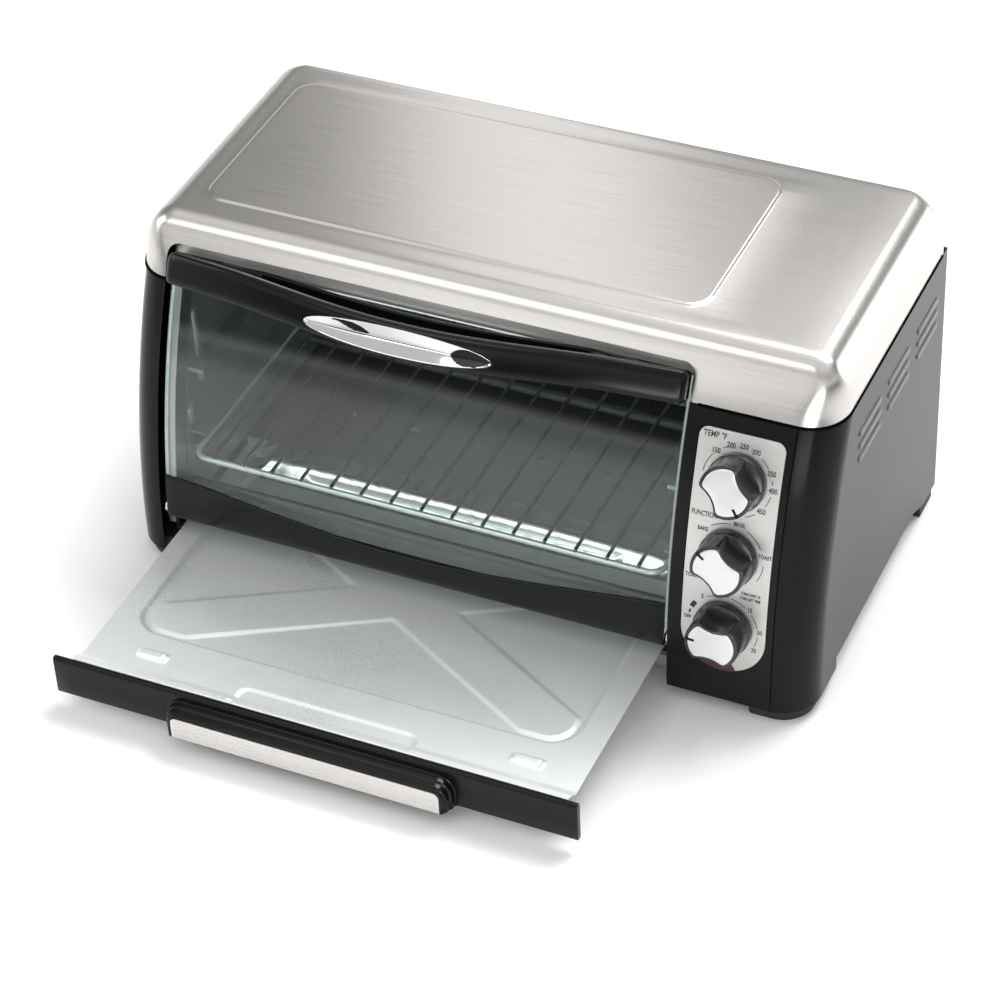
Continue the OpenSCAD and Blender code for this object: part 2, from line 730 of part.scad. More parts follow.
module door_lower_rail() color("#202022") placed() difference() {
  union() {
    intersection() {
      bow_slab(door_x0, rail_x1, front_r + 0.1, front_r + 1.6, rail_a0 + 0.1, 10);
      on_bow(5.8, -5) linear_extrude(15) polygon(concat(
        [[door_x0 - 1, -30], [rail_x1 + 1, -30], [rail_x1 + 1, rail_top(rail_x1)]],
        [for (i = [rail_n : -1 : 0]) [rx(i), rail_top(rx(i))]], [[door_x0 - 1, rail_top(door_x0)]]));
    }
    // foot under the glass and the lip behind it
    bow_slab(door_x0, rail_x1, front_r - glass_t - 1.5, front_r + 1.5, rail_a0, glass_a0 - 0.05);
    bow_slab(door_x0 + 13, rail_x1 - 13, front_r - glass_t - 1.6, front_r - glass_t - 0.2,
      rail_a0 + 0.1, 5.6);
    rail_knuckle(door_x0);
    rail_knuckle(rail_x1 - 12);
  }
  for (x = [door_x0 - 1, rail_x1 - 13]) translate([x, hinge_y, hinge_z]) rotate([0, 90, 0])
    cylinder(h = 14, r = pin_r + 0.03);
}

module door_hinge_pins() color("silver") placed() {
  translate([-204.4, hinge_y, hinge_z]) rotate([0, 90, 0]) cylinder(h = 15, r = pin_r);
  translate([127, hinge_y, hinge_z]) rotate([0, 90, 0]) cylinder(h = 12.3, r = pin_r);
}

module door_screws() color("silver") placed() for (x = door_screw_x)
  on_bow(handle_a, -glass_t - 0.05) translate([x, 0, 0]) screw(7);

// ---- rack ----------------------------------------------------------------

module rod_x(x0, x1, y, z, r) translate([x0, y, z]) rotate([0, 90, 0])
  cylinder(h = x1 - x0, r = r, $fn = 32);
module rod_y(x, y0, y1, z, r) translate([x, y0, z]) rotate([-90, 0, 0])
  cylinder(h = y1 - y0, r = r, $fn = 32);

rack_corner = 10;

module wire_rack() color("gainsboro") placed() {
  f = rack_frame_r;
  c = rack_corner;
  for (y = [rack_y0 + f, rack_y1 - f]) rod_x(rack_x0 + f + c, rack_x1 - f - c, y, rack_z, f);
  for (x = [rack_x0 + f, rack_x1 - f]) rod_y(x, rack_y0 + f + c, rack_y1 - f - c, rack_z, f);
  for (q = [[rack_x0, rack_y0, 1, 1, 180], [rack_x1, rack_y0, -1, 1, 270],
            [rack_x1, rack_y1, -1, -1, 0], [rack_x0, rack_y1, 1, -1, 90]])
    translate([q[0] + q[2] * (f + c), q[1] + q[3] * (f + c), rack_z]) rotate([0, 0, q[4]])
      rotate_extrude(angle = 90) translate([c, 0]) circle(f, $fn = 32);
  for (i = [-7 : 7])
    rod_y(cav_mid + wire_pitch * i, rack_y0 - 0.5, rack_y1 + 0.5, rack_z + f + 0.7, wire_r);
  for (y = [82, 150]) rod_x(rack_x0 + 1, rack_x1 - 1, y, rack_z, 1.6);
}

// ---- crumb tray ----------------------------------------------------------

module on_tray() placed() translate([0, tray_y, 0]) children();

basin_x0 = -180;
basin_x1 = 115;
basin_y0 = 50;
basin_y1 = 208;

module crumb_tray() color("lightsteelblue") on_tray() {
  difference() {
    union() {
      box([tray_x0, 6, tray_z], [tray_x1, tray_len - 4, tray_z + 0.8]);
      translate([0, 0, tray_z - basin_drop]) linear_extrude(basin_drop + 0.4)
        rounded(basin_x0, basin_y0, basin_x1, basin_y1, 20);
    }
    translate([0, 0, tray_z - basin_drop + 0.8]) linear_extrude(basin_drop + 2)
      rounded(basin_x0 + 0.8, basin_y0 + 0.8, basin_x1 - 0.8, basin_y1 - 0.8, 19.2);
  }
  box([tray_x0, tray_len - 4.8, tray_z], [tray_x1, tray_len - 4, tray_z + 8]);
  // rolled ridge behind the front panel
  rod_x(tray_x0, tray_x1, 6, tray_z + 3.2, 3.4);
}

module tray_front() color("#202022") on_tray() difference() {
  union() {
    box([panel_x0, -panel_t, 9.5], [panel_x1, -panel_t + 4, 37]);
    box([-203, -panel_t + 3, 33], [137.5, 0.4, 36]);
  }
  along_x(panel_x0 - 1, panel_x1 + 1)
    polygon([[-panel_t - 1, 34.5], [-panel_t - 1, 38], [-panel_t + 2.5, 38]]);
}

grip_x0 = -126;
grip_x1 = 65;

grip_y = -panel_t - grip_d;

// Hollow under the grip and the slope on top of it, both [y, z]
under_grip = [[-panel_t - 2, 9], [grip_y + 4, 9], [grip_y + 4, 19],
  [-panel_t - 3.5, 24], [-panel_t - 2, 24]];
grip_slope = [[grip_y - 1, 27], [grip_y - 1, 34], [-panel_t + 0.5, 34], [-panel_t + 0.5, 32]];

module tray_handle() color("#202022") on_tray() difference() {
  along_y(grip_y, -panel_t) grip_front_2d(0);
  along_x(grip_x0 - 1, grip_x1 + 1) polygon(under_grip);
  along_x(grip_x0 - 1, grip_x1 + 1) polygon(grip_slope);
  along_y(grip_y - 1, grip_y + 1) grip_front_2d(2.2);
}

// Front view of the tray's grip: square foot and rounded upper corners
module grip_front_2d(in) difference() {
  rounded(grip_x0 + in, -10, grip_x1 - in, 32 - in * 3.2, 12 - in);
  translate([grip_x0 - 1, -20]) square([grip_x1 - grip_x0 + 2, 30.5 + in / 2]);
}

module tray_handle_plate() color("gainsboro") on_tray()
  along_y(grip_y + 0.2, grip_y + 0.95) grip_front_2d(2.3);

// ---- assembly ------------------------------------------------------------

hood();
side_panel_left();
side_panel_right();
rear_cover();
base_plate();
foot_front_left();
foot_front_right();
foot_rear_left();
foot_rear_right();
rear_spacers();
front_frame();
cavity_left();
cavity_right();
cavity_top();
cavity_back();
heat_shield();
tray_guides();
hinge_brackets();
upper_element_front();
upper_element_rear();
lower_element_front();
lower_element_rear();
element_insulators();
control_bezel();
dial_plate();
indicator_lens();
indicator_lamp();
thermostat();
function_switch();
timer();
timer_bell();
wiring();
cord_gland();
casing_screws();
frame_screws();
temperature_knob();
temperature_knob_cap();
temperature_shaft();
function_knob();
function_knob_cap();
function_shaft();
timer_knob();
timer_knob_cap();
timer_shaft();
door_glass();
door_handle();
handle_scoop();
door_lower_rail();
door_hinge_pins();
door_screws();
wire_rack();
crumb_tray();
tray_front();
tray_handle();
tray_handle_plate();
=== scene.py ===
# Looks for the toaster oven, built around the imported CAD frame.
# Lengths in the helpers are millimetres, with y = 0 at the foremost line of the bowed front;
# mesh() turns them into metres of the shared frame.
import math
import bmesh
import bpy
import numpy as np
from mathutils import Matrix, Vector


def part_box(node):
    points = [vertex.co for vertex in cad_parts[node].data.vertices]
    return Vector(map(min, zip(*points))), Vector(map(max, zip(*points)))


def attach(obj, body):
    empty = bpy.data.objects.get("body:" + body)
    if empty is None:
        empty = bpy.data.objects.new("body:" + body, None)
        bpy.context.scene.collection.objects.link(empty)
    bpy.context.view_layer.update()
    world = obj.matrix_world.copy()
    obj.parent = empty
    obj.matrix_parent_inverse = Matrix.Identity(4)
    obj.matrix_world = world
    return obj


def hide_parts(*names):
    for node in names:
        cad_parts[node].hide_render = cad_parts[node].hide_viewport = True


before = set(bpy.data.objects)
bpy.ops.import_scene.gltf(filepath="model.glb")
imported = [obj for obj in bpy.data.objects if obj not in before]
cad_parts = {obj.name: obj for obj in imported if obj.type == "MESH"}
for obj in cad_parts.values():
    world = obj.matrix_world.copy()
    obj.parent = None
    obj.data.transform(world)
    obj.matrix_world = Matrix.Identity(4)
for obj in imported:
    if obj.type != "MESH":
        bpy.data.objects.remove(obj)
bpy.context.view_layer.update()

# ---- shared dimensions, read from the frame where a node gives them -------------------------

MM = 0.001
REAR_Y = 257.0
Y_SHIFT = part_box("rear_cover")[1].y / MM - REAR_Y
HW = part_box("side_panel_right")[1].x / MM
TOP_Z = 233.0
BOW_R = 445.0
BOW_Z = 11.0
SEAM_Z = 197.0
HOOD_BACK = 241.0
DOOR_X0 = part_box("door_glass")[0].x / MM
DOOR_X1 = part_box("door_glass")[1].x / MM
DOOR_MID = (DOOR_X0 + DOOR_X1) / 2
GLASS_T = 4.0
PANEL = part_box("tray_front")
PANEL_DEPTH = 6.0
TRAY_Y = PANEL[0].y / MM - Y_SHIFT + PANEL_DEPTH
CAVITY_X0, CAVITY_X1 = -198.0, 136.0
MERGE_DISTANCE, DEGENERATE = 1e-6, 1e-7


def smooth(t):
    t = min(1.0, max(0.0, t))
    return t * t * (3 - 2 * t)


def mix(a, b, t):
    return a + (b - a) * t


def front_y(z):
    return BOW_R - math.sqrt(BOW_R ** 2 - (z - BOW_Z) ** 2)


def on_bow(a_deg, x, v, out):
    """Point in the bow's tangent frame at an angle: x right, v up along the face, out away from the oven."""
    a = math.radians(a_deg)
    y = BOW_R - BOW_R * math.cos(a) + v * math.sin(a) - out * math.cos(a)
    z = BOW_Z + BOW_R * math.sin(a) + v * math.cos(a) + out * math.sin(a)
    return (x, y, z)


def arc_point(a_deg, x, out):
    """Point on the bow itself at an angle, moved out along its own normal."""
    return on_bow(a_deg, x, 0, out)


# ---- mesh helpers -----------------------------------------------------------------------------

def mesh(name, verts, faces, body, slot, mats, replaces=(), sharp=35.0, face_mats=None):
    data = bpy.data.meshes.new(name)
    moved = [(x * MM, (y + Y_SHIFT) * MM, z * MM) for x, y, z in verts]
    data.from_pydata(moved, [], faces)
    obj = bpy.data.objects.new(name, data)
    bpy.context.scene.collection.objects.link(obj)
    for m in mats:
        data.materials.append(m)
    if face_mats is not None:
        data.polygons.foreach_set("material_index", face_mats)
    tidy(obj, sharp)
    if body:
        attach(obj, body)
    if replaces:
        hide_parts(*replaces)
    return obj


def tidy(obj, sharp):
    """Merges doubles, turns the faces outwards and marks the sharp edges."""
    bm = bmesh.new()
    bm.from_mesh(obj.data)
    bmesh.ops.remove_doubles(bm, verts=bm.verts, dist=MERGE_DISTANCE)
    bmesh.ops.dissolve_degenerate(bm, edges=bm.edges, dist=DEGENERATE)
    bmesh.ops.recalc_face_normals(bm, faces=bm.faces)
    mark(bm, sharp)
    bm.to_mesh(obj.data)
    bm.free()


def mark(bm, sharp):
    limit = math.radians(sharp)
    for f in bm.faces:
        f.smooth = True
    for e in bm.edges:
        e.smooth = len(e.link_faces) == 2 and e.calc_face_angle(0.0) < limit


def sharpen(data, sharp):
    """Marks a finished mesh's sharp edges again."""
    bm = bmesh.new()
    bm.from_mesh(data)
    mark(bm, sharp)
    bm.to_mesh(data)
    bm.free()


def applied(obj, sharp=35.0):
    """Applies the object's modifiers."""
    bpy.context.view_layer.update()
    graph = bpy.context.evaluated_depsgraph_get()
    done = bpy.data.meshes.new_from_object(obj.evaluated_get(graph))
    obj.modifiers.clear()
    obj.data = done
    sharpen(done, sharp)


def thicken(obj, thickness, sharp):
    """Gives a sheet its thickness, behind its faces."""
    m = obj.modifiers.new("thick", "SOLIDIFY")
    m.thickness = thickness * MM
    m.offset = -1.0
    applied(obj, sharp)


def cut(obj, verts, faces):
    """Takes a solid, given in millimetres, out of obj."""
    tool = mesh("cutter", verts, faces, None, None, [])
    m = obj.modifiers.new("cut", "BOOLEAN")
    m.operation = "DIFFERENCE"
    m.solver = "EXACT"
    m.object = tool
    applied(obj)
    bpy.data.objects.remove(tool)


def bevel(obj, width, angle):
    m = obj.modifiers.new("bevel", "BEVEL")
    m.width = width * MM
    m.segments = 2
    m.limit_method = "ANGLE"
    m.angle_limit = math.radians(angle)
    m.harden_normals = True
    m.use_clamp_overlap = True


def loft(rings, caps=True):
    """Quads between closed rings of equal length, with end caps."""
    n = len(rings[0])
    verts = [p for r in rings for p in r]
    faces = []
    for i in range(len(rings) - 1):
        for j in range(n):
            a, b = i * n + j, i * n + (j + 1) % n
            faces.append((a, b, b + n, a + n))
    if caps:
        faces.append(tuple(range(n))[::-1])
        faces.append(tuple(range((len(rings) - 1) * n, len(rings) * n)))
    return verts, faces


def prism(outline, place0, place1):
    """Solid between two placements of a 2-D outline."""
    n = len(outline)
    verts = [place0(p) for p in outline] + [place1(p) for p in outline]
    faces = [tuple(range(n))[::-1], tuple(range(n, 2 * n))]
    faces += [(j, (j + 1) % n, n + (j + 1) % n, n + j) for j in range(n)]
    return verts, faces


def arc(cx, cy, r, degrees):
    """Points of a circle at the given angles."""
    return [(cx + r * math.cos(math.radians(a)), cy + r * math.sin(math.radians(a))) for a in degrees]


def rounded_rect(x0, y0, x1, y1, r, n):
    pts = []
    for cx, cy, a0 in ((x1 - r, y1 - r, 0), (x0 + r, y1 - r, 90), (x0 + r, y0 + r, 180),
                       (x1 - r, y0 + r, 270)):
        pts += arc(cx, cy, r, [a0 + 90 * k / n for k in range(n + 1)])
    return pts


def tube(points, r, n):
    """Round wire along a polyline, with flat ends."""
    pts = [Vector(p) for p in points]
    rings = []
    up = Vector((0.13, 0.21, 1.0)).normalized()
    for i, p in enumerate(pts):
        a = pts[max(0, i - 1)]
        b = pts[min(len(pts) - 1, i + 1)]
        t = (b - a).normalized()
        side = t.cross(up)
        if side.length < 0.2:
            side = t.cross(Vector((1, 0, 0)))
        side.normalize()
        top = side.cross(t).normalized()
        turns = [2 * math.pi * k / n for k in range(n)]
        rings.append([tuple(p + (side * math.cos(a) + top * math.sin(a)) * r) for a in turns])
    return loft(rings)


def joined(parts):
    """One mesh out of several."""
    verts, faces = [], []
    for v, f in parts:
        k = len(verts)
        verts += v
        faces += [tuple(i + k for i in face) for face in f]
    return verts, faces


# ---- materials --------------------------------------------------------------------------------

FINE_DETAIL, FINE_ROUGHNESS, BROAD_DETAIL = 4.0, 0.6, 3.0
BUMP_HEIGHT = 0.00002
HEAD_ON_MIRROR = 0.04


def add_node(nt, kind, inputs=None, **settings):
    """New shader node with its settings and the values of its inputs."""
    node = nt.nodes.new("ShaderNode" + kind)
    for key, value in settings.items():
        setattr(node, key, value)
    for socket, value in (inputs or {}).items():
        node.inputs[socket].default_value = value
    return node


def material(name, color, rough, metallic, scale, tone=0.06, rough_spread=0.05, bump=0.0, broad=9.0,
             **sockets):
    """Principled material with fine variation of tone, roughness and height.

    Further arguments are values of the shader's own sockets, with _ for a space in their names.
    """
    m = bpy.data.materials.new(name)
    m.use_nodes = True
    nt = m.node_tree
    link = nt.links.new
    shader = nt.nodes["Principled BSDF"]
    shader.inputs["Metallic"].default_value = metallic
    for socket, value in sockets.items():
        shader.inputs[socket.replace("_", " ")].default_value = value
    coord = add_node(nt, "TexCoord")
    scaled = add_node(nt, "Mapping", {"Scale": scale if isinstance(scale, tuple) else (scale,) * 3})
    link(coord.outputs["Object"], scaled.inputs["Vector"])
    fine = add_node(nt, "TexNoise", {"Scale": 1.0, "Detail": FINE_DETAIL, "Roughness": FINE_ROUGHNESS})
    link(scaled.outputs["Vector"], fine.inputs["Vector"])
    coarse = add_node(nt, "TexNoise", {"Scale": broad, "Detail": BROAD_DETAIL})
    link(coord.outputs["Object"], coarse.inputs["Vector"])
    tones = add_node(nt, "MapRange", {"From Min": 0.3, "From Max": 0.7, "To Min": 1 - tone,
                                      "To Max": 1 + tone})
    link(fine.outputs["Fac"], tones.inputs["Value"])
    tint = add_node(nt, "Mix", {"Factor": 1.0, "A": (*color, 1)}, data_type="RGBA", blend_type="MULTIPLY")
    link(tones.outputs["Result"], tint.inputs["B"])
    link(tint.outputs["Result"], shader.inputs["Base Color"])
    summed = add_node(nt, "Math", operation="ADD")
    link(fine.outputs["Fac"], summed.inputs[0])
    link(coarse.outputs["Fac"], summed.inputs[1])
    sheen = add_node(nt, "MapRange", {"From Min": 0.7, "From Max": 1.3, "To Min": rough - rough_spread,
                                      "To Max": rough + rough_spread})
    link(summed.outputs["Value"], sheen.inputs["Value"])
    link(sheen.outputs["Result"], shader.inputs["Roughness"])
    if bump > 0:
        relief = add_node(nt, "Bump", {"Strength": bump, "Distance": BUMP_HEIGHT})
        link(fine.outputs["Fac"], relief.inputs["Height"])
        link(relief.outputs["Normal"], shader.inputs["Normal"])
    return m


STEEL = material("brushed_stainless", (0.575, 0.558, 0.54), 0.25, 1.0, scale=(16, 1000, 1000), tone=0.06,
                 rough_spread=0.012, bump=0.12)
BLACK_PAINT = material("black_enamel", (0.009, 0.010, 0.0115), 0.19, 0.0, scale=1400, tone=0.10,
                       rough_spread=0.03, bump=0.10, IOR=1.19)
BLACK_PLASTIC = material("black_moulding", (0.005, 0.005, 0.005), 0.26, 0.0, scale=1700, tone=0.12, bump=0.12,
                         IOR=1.27)
SHINY_BLACK = material("black_bar", (0.004, 0.004, 0.0045), 0.17, 0.0, scale=1500, tone=0.10,
                       rough_spread=0.03, bump=0.08, IOR=1.30)
KNOB_GREY = material("knob_barrel", (0.022, 0.022, 0.024), 0.22, 0.0, scale=2500, tone=0.08, bump=0.04)
SILVER_FACE = material("satin_silver", (0.72, 0.72, 0.72), 0.26, 0.4, scale=2500, tone=0.02,
                       rough_spread=0.01, bump=0.02)
GRIP_SILVER = material("grip_silver", (0.64, 0.62, 0.60), 0.3, 0.45, scale=(30, 900, 900), tone=0.05,
                       bump=0.03)
# a lighter copy of the side panels' black enamel: painted light on the louvres
LOUVRE_PAINTED_LIGHT = material("louvre_enamel_painted_light", (0.10, 0.105, 0.11), 0.3, 0.0, scale=1400, tone=0.10, bump=0.10)
PLATE_SILVER = material("dial_plate_silver", (0.62, 0.615, 0.60), 0.36, 0.9, scale=(40, 1100, 1100),
                        tone=0.05, bump=0.15)
INK = material("dial_ink", (0.02, 0.02, 0.022), 0.5, 0.0, scale=2000, tone=0.2)
CHROME = material("chrome", (0.80, 0.81, 0.82), 0.05, 1.0, scale=300, tone=0.01, rough_spread=0.02)
# rack chrome darkened: painted shade for the dark cavity the wires reflect
WIRE_CHROME_PAINTED_SHADE = material("rack_wire", (0.30, 0.30, 0.30), 0.12, 1.0, scale=900, tone=0.05, rough_spread=0.04,
                       bump=0.04)
TRAY_STEEL = material("tray_sheet", (0.77, 0.795, 0.80), 0.30, 0.45, scale=2300, tone=0.05, rough_spread=0.05,
                      bump=0.04, broad=14.0)
# lighter, half-diffuse copy of the rack chrome for the frame: painted highlight
RIM_CHROME_PAINTED_HIGHLIGHT = material("rack_rim_painted_highlight", (0.95, 0.95, 0.94), 0.20, 0.5, scale=900, tone=0.05, rough_spread=0.04,
                      bump=0.04)
TRAY_WALL = material("tray_drawn_wall", (0.80, 0.81, 0.81), 0.13, 1.0, scale=1500, tone=0.05,
                     rough_spread=0.05, bump=0.03, broad=14.0)
CAVITY_STEEL = material("cavity_sheet", (0.40, 0.44, 0.445), 0.34, 0.7, scale=1600, tone=0.06,
                        rough_spread=0.06, bump=0.08)
ALUMINISED = material("aluminised_sheet", (0.50, 0.49, 0.48), 0.32, 0.95, scale=1800, tone=0.08,
                      rough_spread=0.06, bump=0.08)
ZINC = material("zinc_screws", (0.70, 0.70, 0.70), 0.25, 1.0, scale=900, tone=0.10)
SHEATH = material("element_sheath", (0.20, 0.20, 0.21), 0.5, 0.7, scale=600, tone=0.2, bump=0.2)
CERAMIC = material("ceramic", (0.82, 0.80, 0.74), 0.6, 0.0, scale=900, tone=0.05, bump=0.2)
RUBBER = material("foot_rubber", (0.010, 0.010, 0.011), 0.6, 0.0, scale=900, tone=0.15, bump=0.3)
BRASS = material("bell_brass", (0.75, 0.58, 0.28), 0.3, 1.0, scale=500, tone=0.06)
SLEEVE = material("lead_sleeve", (0.80, 0.79, 0.74), 0.7, 0.0, scale=1500, tone=0.12, bump=0.5)
LAMP = material("lamp_glass", (0.9, 0.4, 0.2), 0.2, 0.0, scale=500, tone=0.05)
RED_LENS = material("red_lens", (0.035, 0.004, 0.006), 0.12, 0.0, scale=500, tone=0.1, Coat_Weight=0.3,
                    Coat_Roughness=0.05)
# pale green edge tone of the glass, plus a faint emission: the glow is painted light
GLASS_EDGE_PAINTED_GLOW = material("glass_edge_painted_glow", (0.70, 0.80, 0.76), 0.25, 0.0, scale=300, tone=0.15, rough_spread=0.08,
                      Emission_Color=(0.55, 0.66, 0.62, 1), Emission_Strength=0.35)
# near-black, rough and barely reflecting: painted shade for the shadow in the gap under the hood's edge
SEAM_PAINTED_SHADE = material("seam_gap_painted_shade", (0.003, 0.003, 0.003), 0.9, 0.0, scale=900, tone=0.2, IOR=1.03)
FLOOR = material("studio_floor", (0.88, 0.88, 0.88), 0.7, 0.0, scale=3, tone=0.003)


def glass_material():
    """Clear pane: mostly see-through with a faint cool tint, and mirrors more at a slant."""
    m = bpy.data.materials.new("door_pane")
    m.use_nodes = True
    nt = m.node_tree
    link = nt.links.new
    nt.nodes.clear()
    out = add_node(nt, "OutputMaterial")
    pane = add_node(nt, "MixShader")
    clear = add_node(nt, "BsdfTransparent", {"Color": (0.86, 0.90, 0.89, 1)})
    gloss = add_node(nt, "BsdfGlossy", {"Color": (1, 1, 1, 1)})
    coord = add_node(nt, "TexCoord")
    noise = add_node(nt, "TexNoise", {"Scale": 14.0})
    link(coord.outputs["Object"], noise.inputs["Vector"])
    smear = add_node(nt, "MapRange", {"To Min": 0.01, "To Max": 0.06})
    link(noise.outputs["Fac"], smear.inputs["Value"])
    link(smear.outputs["Result"], gloss.inputs["Roughness"])
    # both faces mirror alike: a little head on, rising with the fifth power of the slant
    slant = add_node(nt, "LayerWeight", {"Blend": 0.5})
    fifth = add_node(nt, "Math", {1: 5.0}, operation="POWER")
    link(slant.outputs["Facing"], fifth.inputs[0])
    share = add_node(nt, "Math", {1: 1 - HEAD_ON_MIRROR, 2: HEAD_ON_MIRROR}, operation="MULTIPLY_ADD")
    link(fifth.outputs["Value"], share.inputs[0])
    link(share.outputs["Value"], pane.inputs["Fac"])
    link(clear.outputs["BSDF"], pane.inputs[1])
    link(gloss.outputs["BSDF"], pane.inputs[2])
    link(pane.outputs["Shader"], out.inputs["Surface"])
    return m


PANE = glass_material()

CAD_FINISH = {
    STEEL: ["hood"],
    BLACK_PAINT: ["side_panel_left", "side_panel_right", "rear_cover"],
    BLACK_PLASTIC: ["control_bezel", "cord_gland", "door_lower_rail", "tray_front", "tray_handle",
                    "door_handle", "function_switch", "thermostat"],
    KNOB_GREY: ["temperature_knob", "function_knob", "timer_knob"],
    SILVER_FACE: ["temperature_knob_cap", "function_knob_cap", "timer_knob_cap", "tray_handle_plate"],
    PLATE_SILVER: ["dial_plate"],
    ALUMINISED: ["front_frame", "base_plate", "heat_shield", "tray_guides", "timer"],
    CAVITY_STEEL: ["cavity_left", "cavity_right", "cavity_top", "cavity_back"],
    ZINC: ["hinge_brackets", "casing_screws", "frame_screws", "door_screws", "door_hinge_pins",
           "temperature_shaft", "function_shaft", "timer_shaft"],
    SHEATH: ["upper_element_front", "upper_element_rear", "lower_element_front", "lower_element_rear"],
    CERAMIC: ["element_insulators"],
    RUBBER: ["foot_front_left", "foot_front_right", "foot_rear_left", "foot_rear_right", "rear_spacers"],
    BRASS: ["timer_bell"],
    SLEEVE: ["wiring"],
    LAMP: ["indicator_lamp"],
    RED_LENS: ["indicator_lens"],
    CHROME: ["handle_scoop"],
    WIRE_CHROME_PAINTED_SHADE: ["wire_rack"],
    TRAY_STEEL: ["crumb_tray"],
    PANE: ["door_glass"],
}
for finish, names in CAD_FINISH.items():
    for n in names:
        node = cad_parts[n]
        node.data.materials.clear()
        node.data.materials.append(finish)


# ---- hood -------------------------------------------------------------------------------------

CORNER_R = 25.0
TOP_CORNER_R = 9.0
TIGHTER_FROM_Z = 200.0
BACK_CORNER_R = 10.0
SIDE_R, SIDE_Z = 36.5, 203.0
CUT_X0, CUT_X1, CUT_Z1, CUT_R = -207.0, 140.6, 217.6, 8.0
CUT_Y0, CUT_Y1 = -8.0, 64.0
EMB = (-199.0, 81.0, 133.0, 222.0)
EMB_R = 14.0
# how far below the top, and in from the wall, the fold starts and ends
FOLD_FRONT, FOLD_SIDE = (7.6, 8.6), (4.2, 4.8)
HOOD_SHEET = 1.0


def side_in(z):
    """How far the side wall has bowed inwards at a height."""
    return 0.0 if z < SIDE_Z else SIDE_R - math.sqrt(SIDE_R ** 2 - (z - SIDE_Z) ** 2)


def hood_outline(station, z, inset=0.0):
    """Point of the hood's horizontal section at height z, moved inwards by inset."""
    kind, t = station
    hw = HW - side_in(z) - inset
    fy = front_y(z) + inset
    tighter = smooth((z - TIGHTER_FROM_Z) / (TOP_Z - TIGHTER_FROM_Z))
    r = max(3.0, mix(CORNER_R, TOP_CORNER_R, tighter) - inset * 0.6)
    s = -1 if kind.endswith("left") else 1
    rb = BACK_CORNER_R - 0.5 * inset
    back = HOOD_BACK - 0.25 * inset
    if kind in ("left", "right"):
        return (s * hw, mix(back - rb, fy + r, t), z)
    if kind == "back":
        return (mix(hw - rb, rb - hw, t), back, z)
    if kind in ("rear_left", "rear_right"):
        a = math.radians(90 * t)
        return (s * (hw - rb + rb * math.cos(a)), back - rb + rb * math.sin(a), z)
    if kind in ("corner_left", "corner_right"):
        a = math.radians(90 * t)
        return (s * (hw - r + r * math.cos(a)), fy + r - r * math.sin(a), z)
    return (mix(-hw + r, hw - r, t), fy, z)


def hood_stations():
    st = [("left", t) for t in np.linspace(0, 1, 26)[:-1]]
    st += [("corner_left", t) for t in np.linspace(0, 1, 19)[:-1]]
    st += [("front", t) for t in np.linspace(0, 1, 90)]
    st += [("corner_right", t) for t in np.linspace(1, 0, 19)[1:]]
    st += [("right", t) for t in np.linspace(1, 0, 26)[1:]]
    st += [("rear_right", t) for t in np.linspace(0, 1, 13)[1:]]
    st += [("back", t) for t in np.linspace(0, 1, 60)[1:]]
    st += [("rear_left", t) for t in np.linspace(1, 0, 13)[1:-1]]
    return st


def hood_column(station):
    """From the lower edge up the wall, round the fold and onto the top."""
    drop, reach = FOLD_FRONT if station[0] == "front" else FOLD_SIDE
    if station[0].startswith("corner"):
        k = smooth(station[1])
        drop, reach = [mix(side, front, k) for side, front in zip(FOLD_SIDE, FOLD_FRONT)]
    pts = [hood_outline(station, mix(SEAM_Z, TOP_Z - drop, k / 16)) for k in range(17)]
    a, b = hood_outline(station, TOP_Z - drop), hood_outline(station, TOP_Z)
    c = hood_outline(station, TOP_Z, reach)
    for k in range(1, 9):
        t = k / 8
        pts.append(tuple((1 - t) ** 2 * a[i] + 2 * t * (1 - t) * b[i] + t * t * c[i] for i in range(3)))
    return pts


